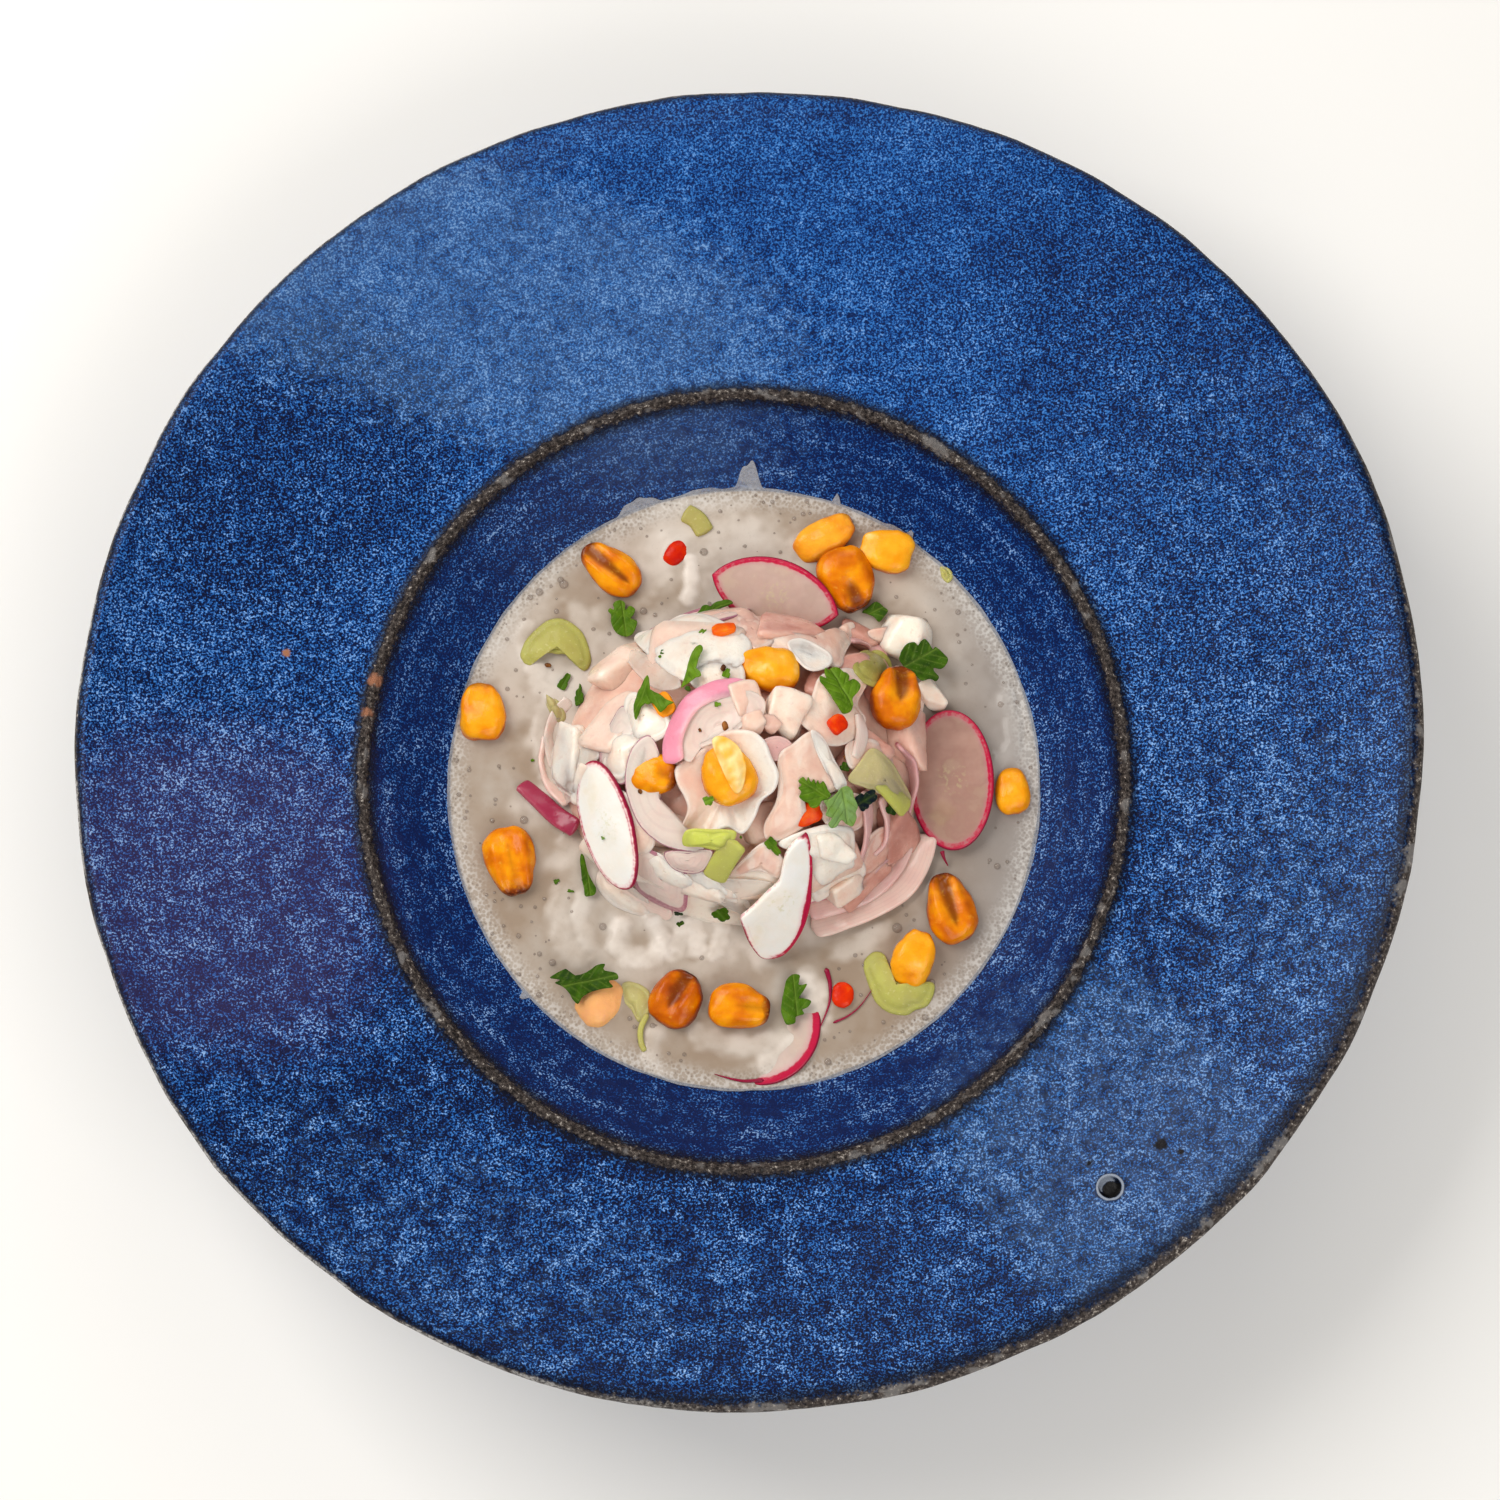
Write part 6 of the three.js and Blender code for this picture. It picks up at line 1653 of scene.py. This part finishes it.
# Degrees each side of the first tongue where the broth's corners stand close, how far inside the shore its
# level face ends, and how far off the wall the tongues' front and back lie.
CLOSE, SHORE_INSET, TONGUE_FRONT, TONGUE_BACK = 4, 0.6, 0.35, 0.08

# The broth creeps up by height · exp(-distance / reach): height and reach at the wall, and round a piece.
WALL_CREEP, PIECE_CREEP = (0.35, 1.2), (0.42, 0.7)


def make_broth(settings):
    """The broth: a disc that meets the bowl, with tongues up the wall, over a belly that follows the bowl.

    Its height is the level plus slow waves, the creep at the wall and round what stands in it, and a smooth
    swelling along each sunk piece. Under the heap it sinks to the floor, where the heap stands.
    """
    first = spot(*TONGUES[0][:2]) - [*WELL_OFFSET, 0]
    start = math.atan2(first[1], first[0])
    near = math.radians(CLOSE)
    others = np.linspace(near, TAU - near, 582)[1:-1]
    angle = start + np.concatenate([np.linspace(-near, near, 60), others])[None]
    edge = float(bowl_radius(BROTH_LEVEL + GAP))
    climb = 0.25 + 0.12 * ripple(np.stack([np.cos(angle), np.sin(angle)], -1), 0.3, 31, 4)
    for u, v, height, width in TONGUES:
        place = spot(u, v)
        way = math.atan2(place[1] - WELL_OFFSET[1], place[0] - WELL_OFFSET[0])
        away = (angle - way + np.pi) % TAU - np.pi
        climb = climb + height * np.exp(-np.abs(away / math.radians(width)) ** 4)
    out = np.linspace(0, 1, 126)[1:, None] ** 0.85
    r = (edge - SHORE_INSET) * out
    wall_z = BROTH_LEVEL + np.linspace(0.25, 1, 7)[:, None] * climb
    wall_r, wall_h = off_wall(bowl_radius(wall_z), TONGUE_FRONT)
    back_z = BROTH_LEVEL + np.linspace(1, 0, 4)[:, None] * climb
    back_r, back_h = off_wall(bowl_radius(back_z), TONGUE_BACK)
    low = np.linspace(edge - 0.3, 4, 16)[:, None]
    belly_r, belly_h = off_wall(low + 0 * angle, GAP)
    top = thrown(r + 0 * angle, angle + 0 * r, BROTH_LEVEL + 0 * r)
    x, y = top[..., 0], top[..., 1]
    rise = slow_waves(top) + WALL_CREEP[0] * np.exp(-(edge - r) / WALL_CREEP[1])
    for place, long, wide, heading in broth_places():
        off = np.abs(oval_distance(x, y, place, long, wide, heading))
        rise = rise + PIECE_CREEP[0] * np.exp(-off / PIECE_CREEP[1])
    pale = np.zeros_like(x)
    for path, wide, height, light in SUNK:
        line = curve([spot(u, v)[:2] for u, v in path], 8 * len(path))
        off = line_distance(x, y, line) / wide + 0.22 * ripple(top[..., :2], 5.0, 33, 2)
        rise = rise + 0.85 * height * np.exp(-1.6 * np.clip(off, 0, 9) ** 2.6)
        pale = np.maximum(pale, light * smooth(1.5, 0.4, off))
    heap = oval_distance(x, y, HEAP_MIDDLE, *HEAP_REACH, 0)
    pale = np.maximum(pale, 0.5 * smooth(11, 0, heap + 4 * ripple(top[..., :2], 14.0, 34, 3)))
    under = smooth(-1.0, -4.5, heap)
    top[..., 2] += rise
    floor = bowl_height(r) + 2 * GAP + 0 * x
    top[..., 2] = np.minimum(top[..., 2], top[..., 2] + (floor - top[..., 2]) * under)
    sides = ((wall_r, wall_h), (back_r, back_h), (belly_r, belly_h))
    grid = np.concatenate([top, *(thrown(radius, angle + 0 * radius, high) for radius, high in sides)])
    hidden = np.zeros((len(grid) - len(top), angle.size))
    shore = np.concatenate([edge - r + 0 * angle, hidden - 1])
    pale = np.concatenate([pale, hidden])
    batch = Batch()
    points = shell(grid, [*WELL_OFFSET, FLOOR_TOP + 2 * GAP], [*WELL_OFFSET, FLOOR_TOP + GAP])
    faces = shell_faces(len(grid), angle.size)
    batch.add(points, faces, shore=with_ends(shore, 60.0, 60.0), pale=with_ends(pale, 0.0, 0.0))
    return batch.piece("broth", milky(settings), "broth", "soup")


def milky(settings):
    """Milky broth: warm beige that clouds to white over what is sunk in it, with fine froth near the shore.

    Near the shore it thins out over 3 mm, so the glaze shows through and turns it blue.
    """
    paint = Finish("citrus_broth", IOR=1.34, Specular_IOR_Level=0.35)
    shore, pale = paint.value("shore"), paint.value("pale")
    cloud, swirl, mist = paint.noise(22.0, 4.0), paint.noise(8.0, rough=0.5), paint.noise(1.6)
    heat = paint.plus(paint.times(cloud, 0.7), paint.times(swirl, 0.35))
    body = paint.ramp(heat, (0.36, "958270"), (0.48, settings.middle), (0.58, "a69788"), (0.7, "b5aba0"))
    body = paint.mix(paint.times(pale, paint.step(swirl, 0.25, 0.6, 0.55, 1.0)), body, "efe6dc")
    # Greyer and darker towards the east: partly painted shadow of the bowl's wall, partly the grey of the
    # froth near it.
    east = paint.node("SeparateXYZ", {0: paint.place})
    body = paint.mix(paint.step(east, 0.03, 0.06, 0.0, 0.7), body, "928f8e")
    froth = paint.plus(shore, paint.swing(swirl, 4.0))
    near = paint.step(froth, 6.5, 1.0)
    body = paint.mix(paint.times(near, 0.35), body, "bcb8b2")
    cells = paint.node(
        "TexVoronoi", {"Vector": paint.place, "Scale": 1 / (0.7 * MM), "Randomness": 1.0}, out="Distance"
    )
    pit = paint.times(paint.step(cells, 0.42, 0.12), paint.step(mist, 0.42, 0.6))
    pit = paint.times(pit, paint.plus(paint.times(near, 0.6), 0.06))
    body = paint.mix(paint.times(paint.step(cells, 0.45, 0.75), paint.times(near, 0.4)), body, "e4e2df")
    body = paint.mix(pit, body, "625a53")
    body = paint.mix(paint.times(paint.step(shore, 1.2, 0.0), 0.5), body, "b7c3d6")
    relief = paint.bump(paint.less(paint.times(mist, 0.5), pit), 0.08)
    seen = paint.step(shore, -0.9, 2.0, 0.42, 1.0)
    return paint.feed(
        Base_Color=body, Alpha=seen, Roughness=paint.step(cloud, 0.3, 0.7, 0.14, 0.26), Normal=relief
    )


# Rows and columns of points on a bubble.
BUBBLE_GRID = (5, 8)


def make_bubbles(settings):
    """Bubbles: low domes joined as one mesh, more of them near the wall, none where a piece stands."""
    draw = np.random.default_rng(41)
    count = settings.bubbles * 2
    edge = float(bowl_radius(BROTH_LEVEL)) - 1.0
    r = edge * np.sqrt(draw.uniform(0.2, 1, count)) ** 0.7
    angle = draw.uniform(0, TAU, count)
    places = thrown(r, angle, BROTH_LEVEL + 0 * r)
    x, y = places[:, 0], places[:, 1]
    keep = oval_distance(x, y, HEAP_MIDDLE, *(HEAP_REACH + 2), 0) > 0
    for place, long, wide, heading in broth_places():
        keep &= oval_distance(x, y, place, long + 1, wide + 1, heading) > 0.8
    for at, heading, long, wide, *_ in RADISH:
        keep &= oval_distance(x, y, at, long + 1, wide + 1, heading) > 0
    chosen = places[keep][: settings.bubbles]
    size = settings.bubble_size / MM * np.exp(draw.normal(0, 0.42, len(chosen)))
    dome = ball(*BUBBLE_GRID) * np.array([1.0, 1.0, 0.75])
    quads, fans = shell_faces(*BUBBLE_GRID)
    points = chosen[:, None] + dome[None] * size[:, None, None]
    points[..., 2] += slow_waves(chosen)[:, None] + 0.05
    shift = (np.arange(len(chosen)) * len(dome))[:, None, None]
    batch = Batch()
    faces = (quads[None] + shift).reshape(-1, 4), (fans[None] + shift).reshape(-1, 3)
    batch.add(points.reshape(-1, 3), faces)
    return batch.piece("broth_bubbles", bubble_skin(), "broth", "soup")


def bubble_skin():
    """A bubble's wet skin, a little darker than the broth that it covers."""
    paint = Finish("bubble_skin", IOR=1.33, Coat_Weight=0.6, Coat_Roughness=0.03, Roughness=0.12, Alpha=0.42)
    return paint.feed(Base_Color=paint.ramp(paint.noise(5.0), (0.3, "8b7a6c"), (0.7, "a99c92")))


# ---------------- the stage


# Half the side of the floor, and the point that the lights look at, in metres.
FLOOR_HALF, LIT_POINT = 4.0, (0, 0, 0.03)


def add_area(name, place, size, power, shade):
    """A square area light that looks at the plate."""
    light = bpy.data.lights.new(name, "AREA")
    light.shape, light.size, light.energy, light.color = "SQUARE", size, power, shade
    lamp = bpy.data.objects.new(name, light)
    lamp.location = place
    lamp.rotation_euler = (Vector(LIT_POINT) - Vector(place)).to_track_quat("-Z", "Y").to_euler()
    bpy.context.scene.collection.objects.link(lamp)


def make_stage(settings):
    """A plain pale floor, soft light from the upper left, and the camera."""
    scene = bpy.context.scene
    mesh = bpy.data.meshes.new("floor")
    corners = [(x * FLOOR_HALF, y * FLOOR_HALF, 0) for x, y in ((-1, -1), (1, -1), (1, 1), (-1, 1))]
    mesh.from_pydata(corners, [], [(0, 1, 2, 3)])
    floor = bpy.data.objects.new("floor", mesh)
    scene.collection.objects.link(floor)
    paint = Finish("pale_floor", Roughness=0.7)
    mesh.materials.append(
        paint.feed(Base_Color=paint.ramp(paint.noise(300.0, 2.0), (0.3, "ecebe8"), (0.7, "f2f1ee")))
    )
    add_area("key_light", (-0.62, 0.4, 0.8), 0.7, settings.key, (1.0, 0.97, 0.93))
    add_area("fill_light", (0.4, -0.75, 0.85), 0.9, settings.fill, (1.0, 0.98, 0.96))
    add_area("back_light", (0.15, 0.95, 0.7), 0.7, 0.35 * settings.fill, (1.0, 0.98, 0.96))
    world = bpy.data.worlds.new("soft_sky")
    world.use_nodes = True
    sky = world.node_tree.nodes["Background"].inputs
    sky["Color"].default_value = (1.0, 0.98, 0.95, 1.0)
    sky["Strength"].default_value = settings.sky
    scene.world = world
    camera = bpy.data.objects.new("camera", bpy.data.cameras.new("camera"))
    camera.location = Vector(EYE) * MM
    camera.rotation_euler = Vector(LOOK).to_track_quat("-Z", "Y").to_euler()
    camera.data.lens, camera.data.sensor_width = LENS, SENSOR
    camera.data.clip_start, camera.data.clip_end = 0.05, 20.0
    scene.collection.objects.link(camera)
    scene.camera = camera
    scene.view_settings.view_transform = "Standard"


# ---------------- operators and panel


class CEVICHE_OT_plate(bpy.types.Operator):
    """Adds the stoneware plate."""

    bl_idname = "ceviche.plate"
    bl_label = "Plate"

    def execute(self, context):
        make_plate(context.scene.ceviche_plate)
        return {"FINISHED"}


class CEVICHE_OT_broth(bpy.types.Operator):
    """Adds the broth."""

    bl_idname = "ceviche.broth"
    bl_label = "Broth"

    def execute(self, context):
        make_broth(context.scene.ceviche_broth)
        return {"FINISHED"}


class CEVICHE_OT_bubbles(bpy.types.Operator):
    """Adds the bubbles on the broth."""

    bl_idname = "ceviche.bubbles"
    bl_label = "Bubbles"

    def execute(self, context):
        make_bubbles(context.scene.ceviche_broth)
        return {"FINISHED"}


class CEVICHE_OT_core(bpy.types.Operator):
    """Adds the dome under the heap."""

    bl_idname = "ceviche.core"
    bl_label = "Heap core"

    def execute(self, context):
        make_core(context.scene.ceviche_food)
        return {"FINISHED"}


class CEVICHE_OT_fish(bpy.types.Operator):
    """Adds the chunks of fish."""

    bl_idname = "ceviche.fish"
    bl_label = "Fish chunks"

    def execute(self, context):
        make_fish(context.scene.ceviche_food)
        return {"FINISHED"}


class CEVICHE_OT_petals(bpy.types.Operator):
    """Adds the thin petals of fish."""

    bl_idname = "ceviche.petals"
    bl_label = "Fish petals"

    def execute(self, context):
        make_petals(context.scene.ceviche_food)
        return {"FINISHED"}


class CEVICHE_OT_onion(bpy.types.Operator):
    """Adds the slices and strips of red onion."""

    bl_idname = "ceviche.onion"
    bl_label = "Onion"

    def execute(self, context):
        make_onion()
        return {"FINISHED"}


class CEVICHE_OT_corn(bpy.types.Operator):
    """Adds the toasted kernels."""

    bl_idname = "ceviche.corn"
    bl_label = "Corn"

    def execute(self, context):
        make_corn(context.scene.ceviche_food)
        return {"FINISHED"}


class CEVICHE_OT_radish(bpy.types.Operator):
    """Adds the radish slices."""

    bl_idname = "ceviche.radish"
    bl_label = "Radish"

    def execute(self, context):
        make_radish(context.scene.ceviche_food)
        return {"FINISHED"}


class CEVICHE_OT_celery(bpy.types.Operator):
    """Adds the celery slices."""

    bl_idname = "ceviche.celery"
    bl_label = "Celery"

    def execute(self, context):
        make_celery()
        return {"FINISHED"}


class CEVICHE_OT_leaves(bpy.types.Operator):
    """Adds the coriander leaves."""

    bl_idname = "ceviche.leaves"
    bl_label = "Coriander"

    def execute(self, context):
        make_leaves(context.scene.ceviche_food)
        return {"FINISHED"}


class CEVICHE_OT_chilli(bpy.types.Operator):
    """Adds the chilli chips."""

    bl_idname = "ceviche.chilli"
    bl_label = "Chilli"

    def execute(self, context):
        make_chilli()
        return {"FINISHED"}


class CEVICHE_OT_stage(bpy.types.Operator):
    """Adds the floor, the lights and the camera."""

    bl_idname = "ceviche.stage"
    bl_label = "Stage"

    def execute(self, context):
        make_stage(context.scene.ceviche_stage)
        return {"FINISHED"}


OPERATORS = (
    CEVICHE_OT_plate, CEVICHE_OT_broth, CEVICHE_OT_bubbles, CEVICHE_OT_core,
    CEVICHE_OT_fish, CEVICHE_OT_petals, CEVICHE_OT_onion, CEVICHE_OT_corn,
    CEVICHE_OT_radish, CEVICHE_OT_celery, CEVICHE_OT_leaves, CEVICHE_OT_chilli,
    CEVICHE_OT_stage,
)


class CEVICHE_PT_panel(bpy.types.Panel):
    """Lists the operators in the sidebar."""

    bl_idname = "CEVICHE_PT_panel"
    bl_label = "Ceviche"
    bl_space_type = "VIEW_3D"
    bl_region_type = "UI"
    bl_category = "Ceviche"

    def draw(self, context):
        """One button for each operator."""
        for item in OPERATORS:
            self.layout.operator(item.bl_idname)


SETTINGS = {
    "ceviche_plate": CevichePlateSettings,
    "ceviche_broth": CevicheBrothSettings,
    "ceviche_food": CevicheFoodSettings,
    "ceviche_stage": CevicheStageSettings,
}


def register():
    """Registers the settings, the operators and the panel."""
    for name, group in SETTINGS.items():
        bpy.utils.register_class(group)
        setattr(bpy.types.Scene, name, bpy.props.PointerProperty(type=group))
    for item in [*OPERATORS, CEVICHE_PT_panel]:
        bpy.utils.register_class(item)


def unregister():
    """Takes back what register did."""
    for item in [CEVICHE_PT_panel, *reversed(OPERATORS)]:
        bpy.utils.unregister_class(item)
    for name, group in SETTINGS.items():
        delattr(bpy.types.Scene, name)
        bpy.utils.unregister_class(group)


def main():
    """Runs every operator in order."""
    register()
    for item in OPERATORS:
        getattr(bpy.ops.ceviche, item.bl_idname.split(".")[1])()


if __name__ == "__main__":
    main()
